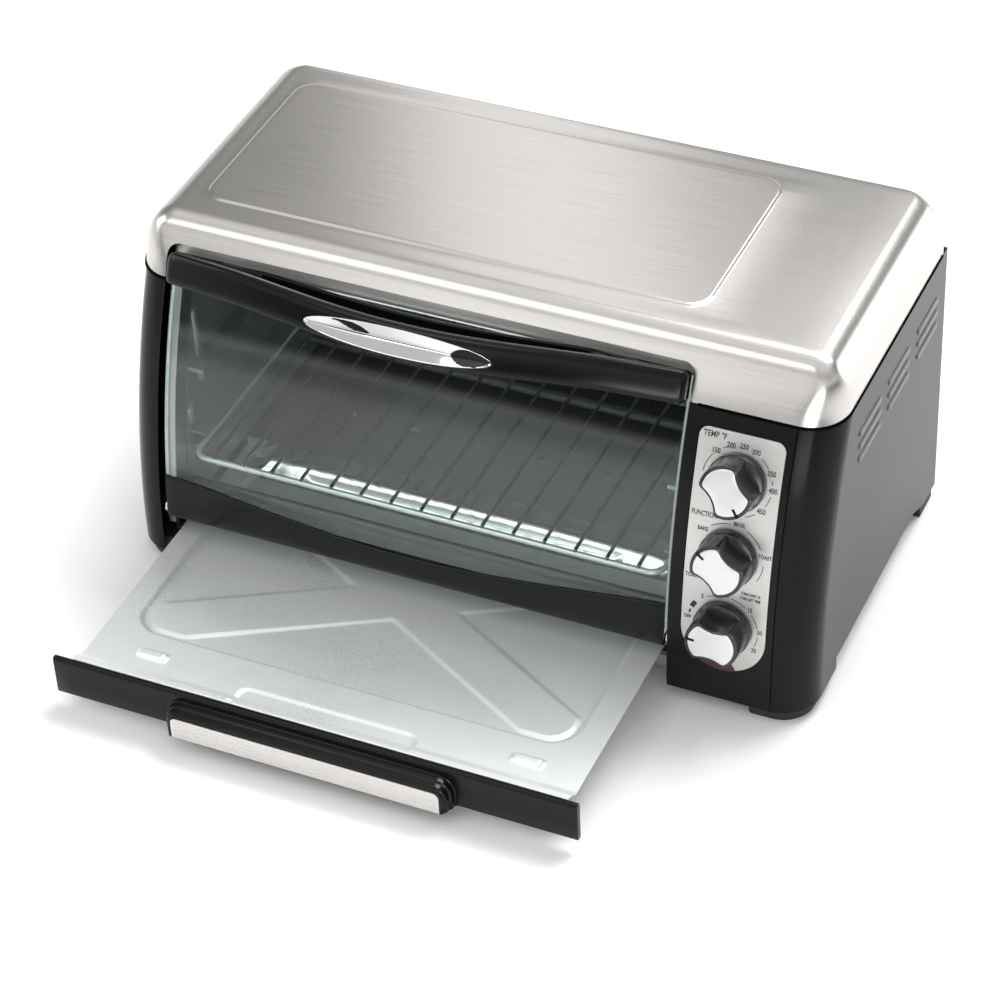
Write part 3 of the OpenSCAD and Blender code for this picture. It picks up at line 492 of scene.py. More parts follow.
def hood():
    stations = hood_stations()
    cols = [hood_column(s) for s in stations]
    n = len(cols[0])
    verts = [p for c in cols for p in c]
    faces = []
    for i in range(len(cols)):
        for j in range(n - 1):
            a, b = i * n + j, (i + 1) % len(cols) * n + j
            faces.append((a, a + 1, b + 1, b))
    # top: from the fold to the pressed panel, ring by ring, then the panel itself
    rim = [i * n + n - 1 for i in range(len(cols))]
    x0, y0, x1, y1 = EMB
    targets = []
    for kind, t in stations:
        a = math.radians(90 * t)
        c, d = EMB_R * (1 - math.cos(a)), EMB_R * (1 - math.sin(a))
        if kind in ("left", "right"):
            targets.append((x0 if kind == "left" else x1, mix(y1 - EMB_R, y0 + EMB_R, t)))
        elif kind in ("front", "back"):
            xa, xb = x0 + EMB_R, x1 - EMB_R
            targets.append((mix(xa, xb, t), y0) if kind == "front" else (mix(xb, xa, t), y1))
        else:
            targets.append((x0 + c if kind.endswith("left") else x1 - c,
                            y0 + d if kind.startswith("corner") else y1 - d))
    cx, cy = (x0 + x1) / 2, (y0 + y1) / 2
    hx, hy = (x1 - x0) / 2, (y1 - y0) / 2

    def ring(points):
        start = len(verts)
        verts.extend(points)
        return list(range(start, start + len(points)))

    def shrink(p, d):
        return (cx + (p[0] - cx) * (hx - d) / hx, cy + (p[1] - cy) * (hy - d) / hy)

    rings = [rim]
    base = [verts[i] for i in rim]
    for t in (0.25, 0.6):
        rings.append(ring([(mix(b[0], q[0], t), mix(b[1], q[1], t), TOP_Z) for b, q in zip(base, targets)]))
    # the panel's pressed edge: a soft rise, then the flat field
    profile = [(-0.7, 0.0), (-0.2, 0.08), (0.3, 0.4), (0.8, 0.75), (1.3, 0.95), (1.9, 1.0), (4.0, 1.0),
               (12.0, 1.0), (40.0, 1.0)]
    for d, h in profile:
        rings.append(ring([(*shrink(q, d), TOP_Z + h) for q in targets]))
    for a, b in zip(rings, rings[1:]):
        m = len(a)
        for j in range(m):
            k = (j + 1) % m
            faces.append((a[j], a[k], b[k], b[j]))
    faces.append(tuple(rings[-1]))
    obj = mesh("hood_shell", verts, faces, None, None, [STEEL], sharp=50)
    thicken(obj, HOOD_SHEET, 50)
    outline = rounded_rect(CUT_X0, SEAM_Z - 30, CUT_X1, CUT_Z1, CUT_R, 10)
    cut(obj, *prism(outline, lambda p: (p[0], CUT_Y0, p[1]), lambda p: (p[0], CUT_Y1, p[1])))
    sharpen(obj.data, 40)
    bevel(obj, 0.35, 50)
    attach(obj, "casing")
    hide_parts("hood")


hood()


# ---- door -------------------------------------------------------------------------------------

HANDLE_A = 25.3
BAR_X0, BAR_X1 = DOOR_X0 - 0.5, DOOR_X1 + 0.5
BAR_TOP, BAR_TOP_DIP = 14.6, 5.9
BAR_LOW, BAR_LOW_DIP = -5.6, 7.1
BAR_OUT, BAR_BULGE, BULGE_HALF = 10, 22, 170.5
SWOOP_HALF, SWOOP_POWER = 130, 1.6
BAR_TOP_REAR = 13.5
SCOOP_X, SCOOP_V = -35.5, -2.4
SCOOP_A, SCOOP_B = 61.5, 8.4
SCOOP_DEPTH = 6.2
BAR_CORNER = 4.5


def swoop(x):
    """1 at the middle of the door, 0 towards its sides."""
    return math.cos(math.radians(90 * min(1.0, abs(x - DOOR_MID) / SWOOP_HALF))) ** SWOOP_POWER


def bar_top(x):
    return BAR_TOP - BAR_TOP_DIP * swoop(x)


def bar_low(x):
    return BAR_LOW - BAR_LOW_DIP * swoop(x)


def bar_out(x):
    return BAR_OUT + BAR_BULGE * (1 - ((x - DOOR_MID) / BULGE_HALF) ** 2)


def bar_ring(x):
    d = min(x - BAR_X0, BAR_X1 - x)
    r = BAR_CORNER
    q = r - math.sqrt(max(0.0, r * r - max(0.0, r - d) ** 2)) if d < r else 0.0
    t, low, o = bar_top(x) - q, bar_low(x) + q * 0.35, bar_out(x) - q * 0.45
    rear = min(BAR_TOP_REAR, t - 0.4)
    k = smooth((138 - abs(x - DOOR_MID)) / 34)
    wall = min(7.0, (o - 4) * 0.8)
    floor = mix(t - 0.5, low + 4, k)
    inner = o - wall
    back = mix(inner - 0.6, 4.0, k) if inner > 5 else 4.0
    pts = [(low + 1.2, 0.4), (low + 0.6, o * 0.35), (low + 0.3, o - 4.0), (low + 0.25, o - 2.0),
           (low + 0.7, o - 0.8), (low + 1.8, o - 0.15), (low + 3.2, o + 0.15)]
    for f in (0.3, 0.5, 0.7):
        pts.append((mix(low, t, f), o + 0.35))
    pts += [(t - 2.6, o + 0.1), (t - 1.3, o - 0.25), (t - 0.45, o - 0.9), (t - 0.1, o - 1.9), (t, o - 3.0),
            (t - 0.1, inner + 1.2), (mix(t - 0.3, t - 0.8, k), inner + 0.4),
            (mix(t - 0.4, t - 2.0, k), inner)]
    pts += [(mix(t - 0.45, floor + 1.5, k), inner), (floor, inner - 0.3), (floor, back + 0.3)]
    hollow = k > 0.02
    pts += [(mix(t - 0.4, floor + 1.5, k), back), (rear - 0.9 if hollow else t - 0.4, back),
            (rear - 0.2, back - 0.5 if hollow else 3.4), (rear, 2.6), (rear, 0.4)]
    return [on_bow(HANDLE_A, x, v, out) for v, out in pts]


def bar():
    xs = [BAR_X0 + e for e in (0, 0.15, 0.5, 1.0, 1.8, 2.8, 4.5)]
    xs += list(np.linspace(BAR_X0 + 7, BAR_X1 - 7, 150))
    xs += [BAR_X1 - e for e in (4.5, 2.8, 1.8, 1.0, 0.5, 0.15, 0)]
    obj = mesh("grip_bar", *loft([bar_ring(x) for x in xs]), None, None, [SHINY_BLACK], sharp=50)
    ellipse = [(SCOOP_X + SCOOP_A * math.cos(a), SCOOP_V + SCOOP_B * math.sin(a))
               for a in np.linspace(0, 2 * math.pi, 97)[:-1]]
    deep = bar_out(SCOOP_X) - SCOOP_DEPTH
    cut(obj, *prism(ellipse, lambda p: on_bow(HANDLE_A, p[0], p[1], deep),
                    lambda p: on_bow(HANDLE_A, p[0], p[1], 40)))
    bevel(obj, 0.3, 50)
    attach(obj, "door")
    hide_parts("door_handle")


def scoop():
    """Bright dish let into the bar; its floor slopes in from the lower edge and tucks under the upper one.
    Some of its faces are painted black as shade and reflection.
    """

    def spot(rho, a, inset):
        return (SCOOP_X + (SCOOP_A - inset) * rho * math.cos(a),
                SCOOP_V + (SCOOP_B - inset) * rho * math.sin(a))

    n, depth_rows = 200, 36
    angles = [2 * math.pi * k / n for k in range(n)]
    rings, places = [], []
    for inset, h in ((0.0, -3.0), (0.0, 0.35), (0.06, 0.6), (0.18, 0.65), (0.30, 0.5)):
        rim = [spot(1, a, inset) for a in angles]
        rings.append([on_bow(HANDLE_A, x, v, bar_out(x) + 0.3 + h) for x, v in rim])
        places += [(0.0, -1.0)] * n
    for k in range(depth_rows):
        rho = 1 - k / depth_rows
        ring = []
        for a in angles:
            u, s = rho * math.cos(a), rho * math.sin(a)
            half = math.sqrt(max(0.0, 1 - u * u))
            down = (half + s) / (2 * half + 1e-6)
            valley = 1.057 - math.sqrt((2.1 * (down - 0.5)) ** 2 + 0.0144)
            deep = (1.15 + 0.45 * u) * min(1.0, 1.6 * half) * valley
            x, v = spot(rho, a, 0.38)
            ring.append(on_bow(HANDLE_A, x, v, bar_out(x) + 0.65 - max(0.0, deep)))
            places.append((u, down))
        rings.append(ring)
    verts, faces = loft(rings, caps=False)
    faces.append(tuple(range(len(verts) - n, len(verts))))
    faces.append(tuple(range(n))[::-1])

    def dark(face):
        """Faces painted black as shade and dark reflection: at the right end of the dish, and in a wedge
        below the upper lip at the left.
        """
        if min(places[i][1] for i in face) < 0:
            return 0
        u = sum(places[i][0] for i in face) / len(face)
        down = sum(places[i][1] for i in face) / len(face)
        t = (u + 0.70) / 0.42
        if 0 < t < 1:
            return 1 if 0.90 - 0.32 * smooth(1.5 * t) < down < 0.97 - 0.34 * t ** 3 else 0
        return 1 if u > 0.74 - 0.16 * (1 - (2 * down - 1) ** 2) else 0

    # the black second material on the faces that dark() picks is painted shade and reflection, not an opening
    # in the dish
    mesh("scoop_dish", verts, faces, "door", "chrome", [CHROME, SHINY_BLACK], replaces=["handle_scoop"],
         sharp=60, face_mats=[dark(f) for f in faces])


def pane():
    """Bowed glass with ground edges; the edges' pale green is the glass's own tone, their faint glow is
    painted light.
    """
    a0, a1, n = 4.9, 26.6, 60
    rings = []
    for k in range(n + 1):
        a = mix(a0, a1, k / n)
        rings.append([arc_point(a, x, out) for x, out in
                      ((DOOR_X0, 0), (DOOR_X1, 0), (DOOR_X1, -GLASS_T), (DOOR_X0, -GLASS_T))])
    verts, faces = loft(rings)
    mats = [0 if i % 4 in (0, 2) else 1 for i in range(4 * n)] + [1, 1]
    mesh("door_pane", verts, faces, "door", "door_glass", [PANE, GLASS_EDGE_PAINTED_GLOW], replaces=["door_glass"],
         sharp=40, face_mats=mats)


RAIL_A, RAIL_TOP, RAIL_SAG = 5.8, 15.5, 15
RAIL_HALF, RAIL_POWER = 175, 1.3


def rail_edge(x):
    """Angle of the lower rail's upper edge, which sags in the middle."""
    sag = math.cos(math.radians(90 * min(1.0, abs(x - DOOR_MID) / RAIL_HALF))) ** RAIL_POWER
    return RAIL_A + math.degrees((RAIL_TOP - RAIL_SAG * sag) / BOW_R)


def lower_rail():
    end = DOOR_X1 - 0.3
    rings = []
    for x in np.linspace(DOOR_X0, end, 110):
        top = rail_edge(x)
        d = min(x - DOOR_X0, end - x)
        q = max(0.0, 1.2 - d) * 0.4
        prof = [(3.75, -5.3), (3.75, 0.4), (3.8, 1.1 - q), (3.95, 1.55 - q)]
        prof += [(mix(4.1, top - 0.2, k / 6), 1.75 - q) for k in range(7)]
        prof += [(top - 0.07, 1.6 - q), (top, 1.0 - q), (top, 0.15), (4.86, 0.12), (4.86, -4.15),
                 (5.55, -4.15), (5.6, -4.6), (5.55, -5.3)]
        rings.append([arc_point(a, x, o) for a, o in prof])
    mesh("door_rail", *loft(rings), "door", "black_plastic", [SHINY_BLACK], replaces=["door_lower_rail"],
         sharp=45)


bar()
scoop()
pane()
lower_rail()


# ---- controls ---------------------------------------------------------------------------------

KNOB_X = 174.7
KNOB_A = {"timer": 6.9, "function": 13.15, "temperature": 19.4}
TURN = {"timer": 85.0, "function": 53.0, "temperature": -145.0}
KNOB_R, KNOB_H = 18.0, 20.0
KNOB_SIDES = 144
DISC = [(math.cos(2 * math.pi * k / KNOB_SIDES), math.sin(2 * math.pi * k / KNOB_SIDES))
        for k in range(KNOB_SIDES)]
HOLLOW_X = 29.0
PLATE_OUT = -0.38
INK_LOW, INK_HIGH = 0.03, 0.07
INK_HEIGHT, INK_WEIGHT = 0.02, 0.11
SCALE_R = 21.6


def knob_point(which, px, py, h):
    """px, py in the knob's own face with +py its pointer; h above the plate."""
    a = math.radians(TURN[which])
    px, py = px * math.cos(a) - py * math.sin(a), px * math.sin(a) + py * math.cos(a)
    return on_bow(KNOB_A[which], KNOB_X + px, py, h + 0.6)


def waist(radius, hollow_r):
    """Disc outline with a soft hollow on each side, for the grip."""
    radii = []
    for c, _ in DISC:
        r = radius
        for cx in (-HOLLOW_X, HOLLOW_X):
            b = cx * c
            disc = b * b - (cx * cx - hollow_r * hollow_r)
            if disc > 0 and b > math.sqrt(disc):
                r = min(r, b - math.sqrt(disc))
        radii.append(r)
    for _ in range(3):
        radii = [(radii[i - 1] + 2 * radii[i] + radii[(i + 1) % KNOB_SIDES]) / 4 for i in range(KNOB_SIDES)]
    return [(r * c, r * s) for r, (c, s) in zip(radii, DISC)]


def knob(which):
    body = which + "_dial"

    def level(shape, h, s=1.0):
        return [knob_point(which, p[0] * s, p[1] * s, h) for p in shape]

    skirt = [level(DISC, h, KNOB_R - inset) for h, inset in
             ((0.3, 0.6), (0.8, 0.0), (3.4, 0.0), (4.2, 0.4), (4.6, 1.2))]
    foot, head = waist(KNOB_R - 0.5, 18.2), waist(KNOB_R - 1.3, 18.4)
    lip, well = waist(KNOB_R - 2.4, 19.1), waist(14.6, 19.7)
    rows = skirt + [level(foot, 4.75, 0.985), level(foot, 5.6, 0.975), level(head, KNOB_H - 1.4),
                    level(head, KNOB_H - 0.5, 0.992), level(lip, KNOB_H - 0.05), level(well, KNOB_H - 0.1),
                    level(well, KNOB_H - 0.9)]
    mesh(which + "_grip", *loft(rows), body, "knob_plastic", [KNOB_GREY],
         replaces=[which + "_knob"], sharp=38)
    face = waist(14.4, 19.9)
    edge = [level(face, KNOB_H + rise, s) for rise, s in
            ((-1.2, 1.0), (0.05, 1.0), (0.2, 0.985), (0.28, 0.95), (0.3, 0.5))]
    mesh(which + "_face", *loft(edge), body, "satin_silver", [SILVER_FACE],
         replaces=[which + "_knob_cap"], sharp=40)
    tick = [(-0.75, 10.4), (0.75, 10.4), (0.75, 16.4), (-0.75, 16.4)]
    mesh(which + "_tick", *prism(tick, lambda p: knob_point(which, p[0], p[1], KNOB_H - 0.2),
                                 lambda p: knob_point(which, p[0], p[1], KNOB_H + 0.55)),
         body, "knob_plastic", [BLACK_PLASTIC], sharp=30)


for w in KNOB_A:
    knob(w)


def plate_point(which, px, py, h):
    """Point over the dial plate, wrapped on its bow."""
    a = KNOB_A[which] + math.degrees(py / BOW_R)
    return arc_point(a, KNOB_X + px, PLATE_OUT + h)


def wrapped(obj, which, at):
    """Moves a flat mesh drawn in millimetres onto the dial plate."""
    for v in obj.data.vertices:
        p = plate_point(which, v.co.x + at[0], v.co.y + at[1], INK_LOW + v.co.z)
        v.co = (p[0] * MM, (p[1] + Y_SHIFT) * MM, p[2] * MM)


def label(name, text, which, at, size, squeeze=0.78):
    curve = bpy.data.curves.new(name, "FONT")
    curve.body = text
    curve.size = size
    curve.align_x = "CENTER"
    curve.align_y = "CENTER"
    curve.resolution_u = 3
    curve.extrude = INK_HEIGHT
    curve.offset = INK_WEIGHT
    tmp = bpy.data.objects.new(name + "_tmp", curve)
    bpy.context.scene.collection.objects.link(tmp)
    bpy.context.view_layer.update()
    graph = bpy.context.evaluated_depsgraph_get()
    data = bpy.data.meshes.new_from_object(tmp.evaluated_get(graph))
    bpy.data.objects.remove(tmp)
    for v in data.vertices:
        v.co.x *= squeeze
    obj = bpy.data.objects.new(name, data)
    bpy.context.scene.collection.objects.link(obj)
    wrapped(obj, which, at)
    data.materials.clear()
    data.materials.append(INK)
    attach(obj, "casing")


def scale_arc(name, which, a0, a1, radius=SCALE_R, width=0.45):
    """Printed arc of the scale; angles run clockwise from the top."""
    n = max(6, int(abs(a1 - a0) / 3))
    verts, faces = [], []
    for k in range(n + 1):
        a = math.radians(mix(a0, a1, k / n))
        for r in (radius - width / 2, radius + width / 2):
            for h in (INK_LOW, INK_HIGH):
                verts.append(plate_point(which, r * math.sin(a), r * math.cos(a), h))
    for k in range(n):
        b = 4 * k
        for i, j in ((0, 2), (2, 3), (3, 1), (1, 0)):
            faces.append((b + i, b + j, b + 4 + j, b + 4 + i))
    faces += [(0, 1, 3, 2), (4 * n, 4 * n + 2, 4 * n + 3, 4 * n + 1)]
    mesh(name, verts, faces, "casing", "black_plastic", [INK])


def around(which, marks, radius, size):
    """Marks round a dial; angles run clockwise from the top."""
    for text, a in marks:
        r = math.radians(a)
        label(f"{which}_mark_{text.lower()}_{int(a) % 360}", text, which,
              (radius * math.sin(r), radius * math.cos(r)), size)


around("temperature", [("150", -43), ("200", -17), ("250", 4), ("300", 24), ("350", 64), ("400", 91),
                       ("450", 131)], 22.2, 4.6)
around("function", [("BAKE", -50), ("BROIL", 12), ("TOAST", 76)], 22.8, 3.5)
label("function_mark_toast_left", "TOAST", "function", (-21.4, -17.6), 3.6)
around("timer", [("5", -38), ("10", 2), ("15", 44), ("20", 84), ("25", 120)], 22.8, 4.2)
label("temperature_heading", "TEMP °F", "temperature", (-17.0, 25.4), 5.2)
label("function_heading", "FUNCTION", "function", (-17.4, 24.2), 4.5, 0.70)
SCALE_ARCS = {
    "temperature": [(-84, -50), (-31, -22), (-5, -1), (15, 18), (36, 55), (75, 82), (101, 120), (143, 160)],
    "function": [(-36, -2), (26, 62), (90, 122)],
    "timer": [(-31, -6), (10, 37), (52, 77), (92, 113)],
}
for w, arcs in SCALE_ARCS.items():
    for i, (a0, a1) in enumerate(arcs):
        scale_arc(f"{w}_arc_{i}", w, a0, a1)
label("timer_note_upper", "TURN PAST 10", "function", (15.6, -21.6), 2.6, 0.72)
label("timer_note_lower", "THEN SET TIME", "function", (15.6, -24.8), 2.6, 0.72)
label("timer_mark_off", "OFF", "timer", (-22.8, 1.5), 3.4)
scale_arc("timer_shade_dark", "timer", -66, -54, 22.4, 3.0)
scale_arc("timer_shade_light", "timer", -78, -71, 22.2, 1.2)


# ---- rack -------------------------------------------------------------------------------------

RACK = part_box("wire_rack")
RX0, RX1 = RACK[0].x / MM, RACK[1].x / MM
RY0, RY1 = RACK[0].y / MM - Y_SHIFT + 0.5, RACK[1].y / MM - Y_SHIFT - 0.5
RACK_Z = 76.0
WIRE_PITCH = 20.65
FRAME_R, FRAME_CORNER, WIRE_R = 2.0, 10.0, 1.2


def rack():
    f = FRAME_R
    x0, x1, y0, y1 = RX0 + f, RX1 - f, RY0 + f, RY1 - f
    loop = [(x, y, RACK_Z) for x, y in rounded_rect(x0, y0, x1, y1, FRAME_CORNER, 10)]
    loop.append(loop[0])
    parts = [tube(loop, f, 16)]
    mid = (CAVITY_X0 + CAVITY_X1) / 2
    for i in range(-7, 8):
        x = mid + WIRE_PITCH * i
        z = RACK_Z + f + 0.9
        pts = [(x, y0 - 0.4, z - 2.4), (x, y0 - 0.2, z - 1.0), (x, y0 + 1.2, z - 0.1), (x, y0 + 3, z)]
        pts += [(x, y, z) for y in np.linspace(y0 + 10, y1 - 10, 12)]
        pts += [(x, y1 - 3, z), (x, y1 - 1.2, z - 0.1), (x, y1 + 0.2, z - 1.0)]
        parts.append(tube(pts, WIRE_R, 12))
    rim = len(parts[0][1])
    verts, faces = joined(parts)
    # the frame tube gets the painted-highlight copy of the chrome, the cross wires the painted-shade copy
    mesh("rack_wires", verts, faces, "rack", "rack_chrome", [WIRE_CHROME_PAINTED_SHADE, RIM_CHROME_PAINTED_HIGHLIGHT],
         replaces=["wire_rack"], sharp=50, face_mats=[1 if i < rim else 0 for i in range(len(faces))])


rack()


# ---- crumb tray -------------------------------------------------------------------------------

TX0, TX1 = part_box("crumb_tray")[0].x / MM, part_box("crumb_tray")[1].x / MM
TRAY_Z = 27.4
TRAY_LEN = 232.0
BASIN = (-180.0, 45.0, 115.0, 219.0)
BASIN_R = 20.0
BASIN_DROP = 3.2
TRAY_SHEET = 0.8
# the drawn, polished stretch of the rear wall
WALL_X0, WALL_X1, WALL_Y = -190, 130, 205
DIMPLE_X = (-154.0, 96.0)
RIDGE_Y, RIDGE_Z, RIDGE_R = 2.2, 4.9, 1.5


def rect_depth(x, y, box4, r):
    """Signed distance to a rounded rectangle, positive inside."""
    x0, y0, x1, y1 = box4
    qx = abs(x - (x0 + x1) / 2) - (x1 - x0) / 2 + r
    qy = abs(y - (y0 + y1) / 2) - (y1 - y0) / 2 + r
    return r - math.hypot(max(qx, 0), max(qy, 0)) - min(max(qx, qy), 0)


def segment_distance(x, y, a, b):
    ax, ay = a
    dx, dy = b[0] - ax, b[1] - ay
    t = min(1.0, max(0.0, ((x - ax) * dx + (y - ay) * dy) / (dx * dx + dy * dy)))
    return math.hypot(x - ax - t * dx, y - ay - t * dy)


def tray_height(x, y):
    """Height of the pressed sheet; y runs from the front panel's rear face."""
    x0, y0, x1, y1 = BASIN
    d = rect_depth(x, y, BASIN, BASIN_R)
    within = min(x - x0, x1 - x)
    rear = smooth((y - 150) / 40) * smooth((within + 4) / 14)
    h = -BASIN_DROP * smooth((d + 0.6) / mix(2.4, 9.5, rear))
    h += 6.4 * smooth((y - 207) / 12) * smooth((within + 6) / 16)
    # crossed ribs: broad raised arms that run from corner to corner of the basin
    arm = min(segment_distance(x, y, (x0 + 8, y0 + 10), (x1 - 8, y1 - 10)),
              segment_distance(x, y, (x0 + 8, y1 - 10), (x1 - 8, y0 + 10)))
    if d > 0:
        h += 1.0 * smooth((18.5 - arm) / 2.6) * smooth((d - 4) / 3)
    # stepped tab at the front and two raised dimples
    tab = rect_depth(x, y, (-89, -6, 28, 21.5), 6)
    h -= 0.9 * smooth((tab + 0.8) / 1.6)
    for cx in DIMPLE_X:
        dim = rect_depth(x, y, (cx - 10, 22.5, cx + 10, 30.0), 2.2)
        h += 2.2 * smooth((dim + 0.6) / 2.2)
    # fold that rises to the rolled ridge behind the front panel
    h += 4.6 * smooth((12.5 - y) / 7.0)
    return h


def tray():
    xs = np.linspace(TX0, TX1, 250)
    ys = list(np.linspace(3.0, 60, 64)) + list(np.linspace(60, TRAY_LEN, 118))[1:]
    verts = [(x, y + TRAY_Y, TRAY_Z + TRAY_SHEET + tray_height(x, y)) for y in ys for x in xs]
    nx = len(xs)
    faces = [(j * nx + i, j * nx + i + 1, (j + 1) * nx + i + 1, (j + 1) * nx + i)
             for j in range(len(ys) - 1) for i in range(nx - 1)]
    # rear flange
    last = (len(ys) - 1) * nx
    for dy, dz in ((0.8, 0.5), (1.1, 1.4), (1.1, 6.5)):
        start = len(verts)
        verts += [(x, TRAY_LEN + dy + TRAY_Y - 1.0, TRAY_Z + TRAY_SHEET + dz) for x in xs]
        faces += [(last + i, last + i + 1, start + i + 1, start + i) for i in range(nx - 1)]
        last = start
    mats = []
    for f in faces:
        x, y, _ = verts[f[0]]
        mats.append(1 if y - TRAY_Y > WALL_Y and WALL_X0 < x < WALL_X1 else 0)
    obj = mesh("tray_sheet", verts, faces, None, None, [TRAY_STEEL, TRAY_WALL], sharp=60, face_mats=mats)
    thicken(obj, TRAY_SHEET, 60)
    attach(obj, "tray")
    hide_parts("crumb_tray")
    ridge = [(x, RIDGE_Y + TRAY_Y, TRAY_Z + RIDGE_Z) for x in (TX0 + 0.5, (TX0 + TX1) / 2, TX1 - 0.5)]
    mesh("tray_ridge", *tube(ridge, RIDGE_R, 18), "tray", "tray_steel", [TRAY_STEEL], sharp=50)


PX0, PX1 = PANEL[0].x / MM, PANEL[1].x / MM


def tray_panel():
    prof = [(-5.6, 9.5), (-2.6, 9.5), (-2.2, 10.0), (-2.0, 11), (-2.0, 31.6), (-1.8, 31.7), (-1.6, 32.0),
            (-1.6, 34.4), (-1.8, 35.0), (-1.9, 35.2), (-2.1, 35.6), (-2.4, 36.6), (-3.0, 36.9), (-4.6, 36.9),
            (-5.3, 36.5), (-5.9, 35.4), (-6.0, 34.4), (-6.0, 10.2)]
    rings = []
    ends = [(0.5, 0.0), (0.15, 0.3), (0.0, 0.9)]
    steps = [(e, PX0 + dx) for e, dx in ends] + [(0.0, x) for x in np.linspace(PX0 + 10, PX1 - 10, 12)]
    steps += [(e, PX1 - dx) for e, dx in reversed(ends)]
    cy, cz = -3.0, 23.0
    for e, x in steps:
        rings.append([(x, TRAY_Y + y + (cy - y) * e * 0.2, z + (cz - z) * e * 0.03) for y, z in prof])
    mesh("tray_panel", *loft(rings), "tray", "black_plastic", [BLACK_PLASTIC], replaces=["tray_front"],
         sharp=40)


GRIP_X0, GRIP_X1 = -126.0, 65.0


def grip_section(out, inset):
    """Front outline of the grip at a depth: square foot, rounded upper corners."""
    x0, x1, z1 = GRIP_X0 + inset, GRIP_X1 - inset, 32.0 - inset * 0.9
    r = 11.0 - inset
    pts = [(x1, 10.5), (x1, z1 - r)]
    pts += arc(x1 - r, z1 - r, r, range(10, 91, 10)) + arc(x0 + r, z1 - r, r, range(90, 171, 10))
    pts += [(x0, z1 - r), (x0, 10.5)]
    return [(x, TRAY_Y - PANEL_DEPTH - out, z) for x, z in pts]


def tray_grip():
    steps = [(-0.5, 0.0), (0.8, 0.0), (1.4, 0.9), (4.6, 1.3), (5.2, 2.2), (5.4, 2.6), (8.2, 3.0), (9.0, 3.9),
             (9.2, 4.3), (10.2, 4.5), (10.8, 5.1), (11.0, 5.9), (11.0, 6.3), (10.4, 6.6)]
    verts, faces = loft([grip_section(o, i) for o, i in steps])
    obj = mesh("tray_grip", verts, faces, None, None, [SHINY_BLACK], sharp=30)
    trough = [(-7.0, 9.0), (-14.5, 9.0), (-14.5, 19.0), (-9.5, 23.0), (-7.0, 23.0)]
    cut(obj, *prism(trough, lambda p: (GRIP_X0 + 6, TRAY_Y + p[0], p[1]),
                    lambda p: (GRIP_X1 - 6, TRAY_Y + p[0], p[1])))
    bevel(obj, 0.25, 45)
    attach(obj, "tray")
    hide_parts("tray_handle")
    face = [(p[0], p[2]) for p in grip_section(0, 6.8)]
    plate = mesh("grip_plate", *prism(face, lambda p: (p[0], TRAY_Y - 16.2, p[1]),
                                      lambda p: (p[0], TRAY_Y - 16.95, p[1])),
                 "tray", "satin_silver", [GRIP_SILVER], replaces=["tray_handle_plate"], sharp=40)
    bevel(plate, 0.25, 45)


tray()
tray_panel()
tray_grip()


# ---- casing details ---------------------------------------------------------------------------

LOUVRE_Z = (149.5, 159.0, 168.5)
LOUVRE_Y = (80.0, 132.5, 186.5)
LOUVRE_R, LOUVRE_LEN = 2.1, 39.0
BEAD_HALF, BEAD_R = 4.6, 4.5


def louvres(name, side):
    """Pressed louvres: a shallow blister over each slit, in a lighter copy of the black enamel that is
    painted light.
    """
    parts = []
    for y0 in LOUVRE_Y:
        for z in LOUVRE_Z:
            rings = []
            for inset, h in ((0.0, -0.4), (0.0, 0.05), (0.35, 0.5), (0.9, 0.85), (1.7, 1.0)):
                ends = []
                for cy, a0 in ((y0 + LOUVRE_LEN - 2, -90), (y0 + 2, 90)):
                    ends += arc(cy, z, LOUVRE_R - inset, [a0 + 180 * k / 8 for k in range(9)])
                rings.append([(side * (HW + h), y, height) for y, height in ends])
            parts.append(loft(rings))
    mesh(name, *joined(parts), "casing", "black_paint", [LOUVRE_PAINTED_LIGHT], sharp=50)


louvres("louvres_right", 1)
louvres("louvres_left", -1)


def cavity_ribs():
    """Upright beads pressed into the left cavity wall."""
    parts = []
    for y, z0, z1 in ((56.0, 110.0, 167.0), (38.0, 88.0, 103.0)):
        rings = []
        for inset, h in ((0.0, -0.1), (0.8, 1.1), (2.0, 1.9), (3.4, 2.2)):
            half = BEAD_HALF - inset
            outline = rounded_rect(y - half, z0 + inset, y + half, z1 - inset, BEAD_R - inset, 6)
            rings.append([(CAVITY_X0 + h, p[0], p[1]) for p in outline])
        parts.append(loft(rings))
    mesh("cavity_beads", *joined(parts), "casing", "cavity_steel", [CAVITY_STEEL], sharp=50)


cavity_ribs()


SEAM_SECTION = ((-0.4, -1.0), (0.6, -1.0), (0.6, 0.5), (-0.4, 0.5))


def seams():
    """Strip of painted shade along the hood's lower edge, on each side of the door opening: near-black and
    barely reflecting, it stands for the shadow in the gap.
    """
    for name, sign in (("hood_seam_right", 1), ("hood_seam_left", -1)):
        side = "right" if sign > 0 else "left"
        start = CUT_X1 + 4 if sign > 0 else CUT_X0
        path = []
        edge = HW - CORNER_R
        if abs(start) < edge:
            path += [("front", mix(start, sign * edge, t) / (2 * edge) + 0.5)
                     for t in np.linspace(0, 1, 12)[:-1]]
        path += [("corner_" + side, t) for t in np.linspace(1, 0, 19)[:-1]]
        path += [(side, t) for t in np.linspace(1, 0, 26)]
        rings = [[hood_outline(station, SEAM_Z + dz, -out) for out, dz in SEAM_SECTION] for station in path]
        mesh(name, *loft(rings), "casing", "black_paint", [SEAM_PAINTED_SHADE], sharp=40)


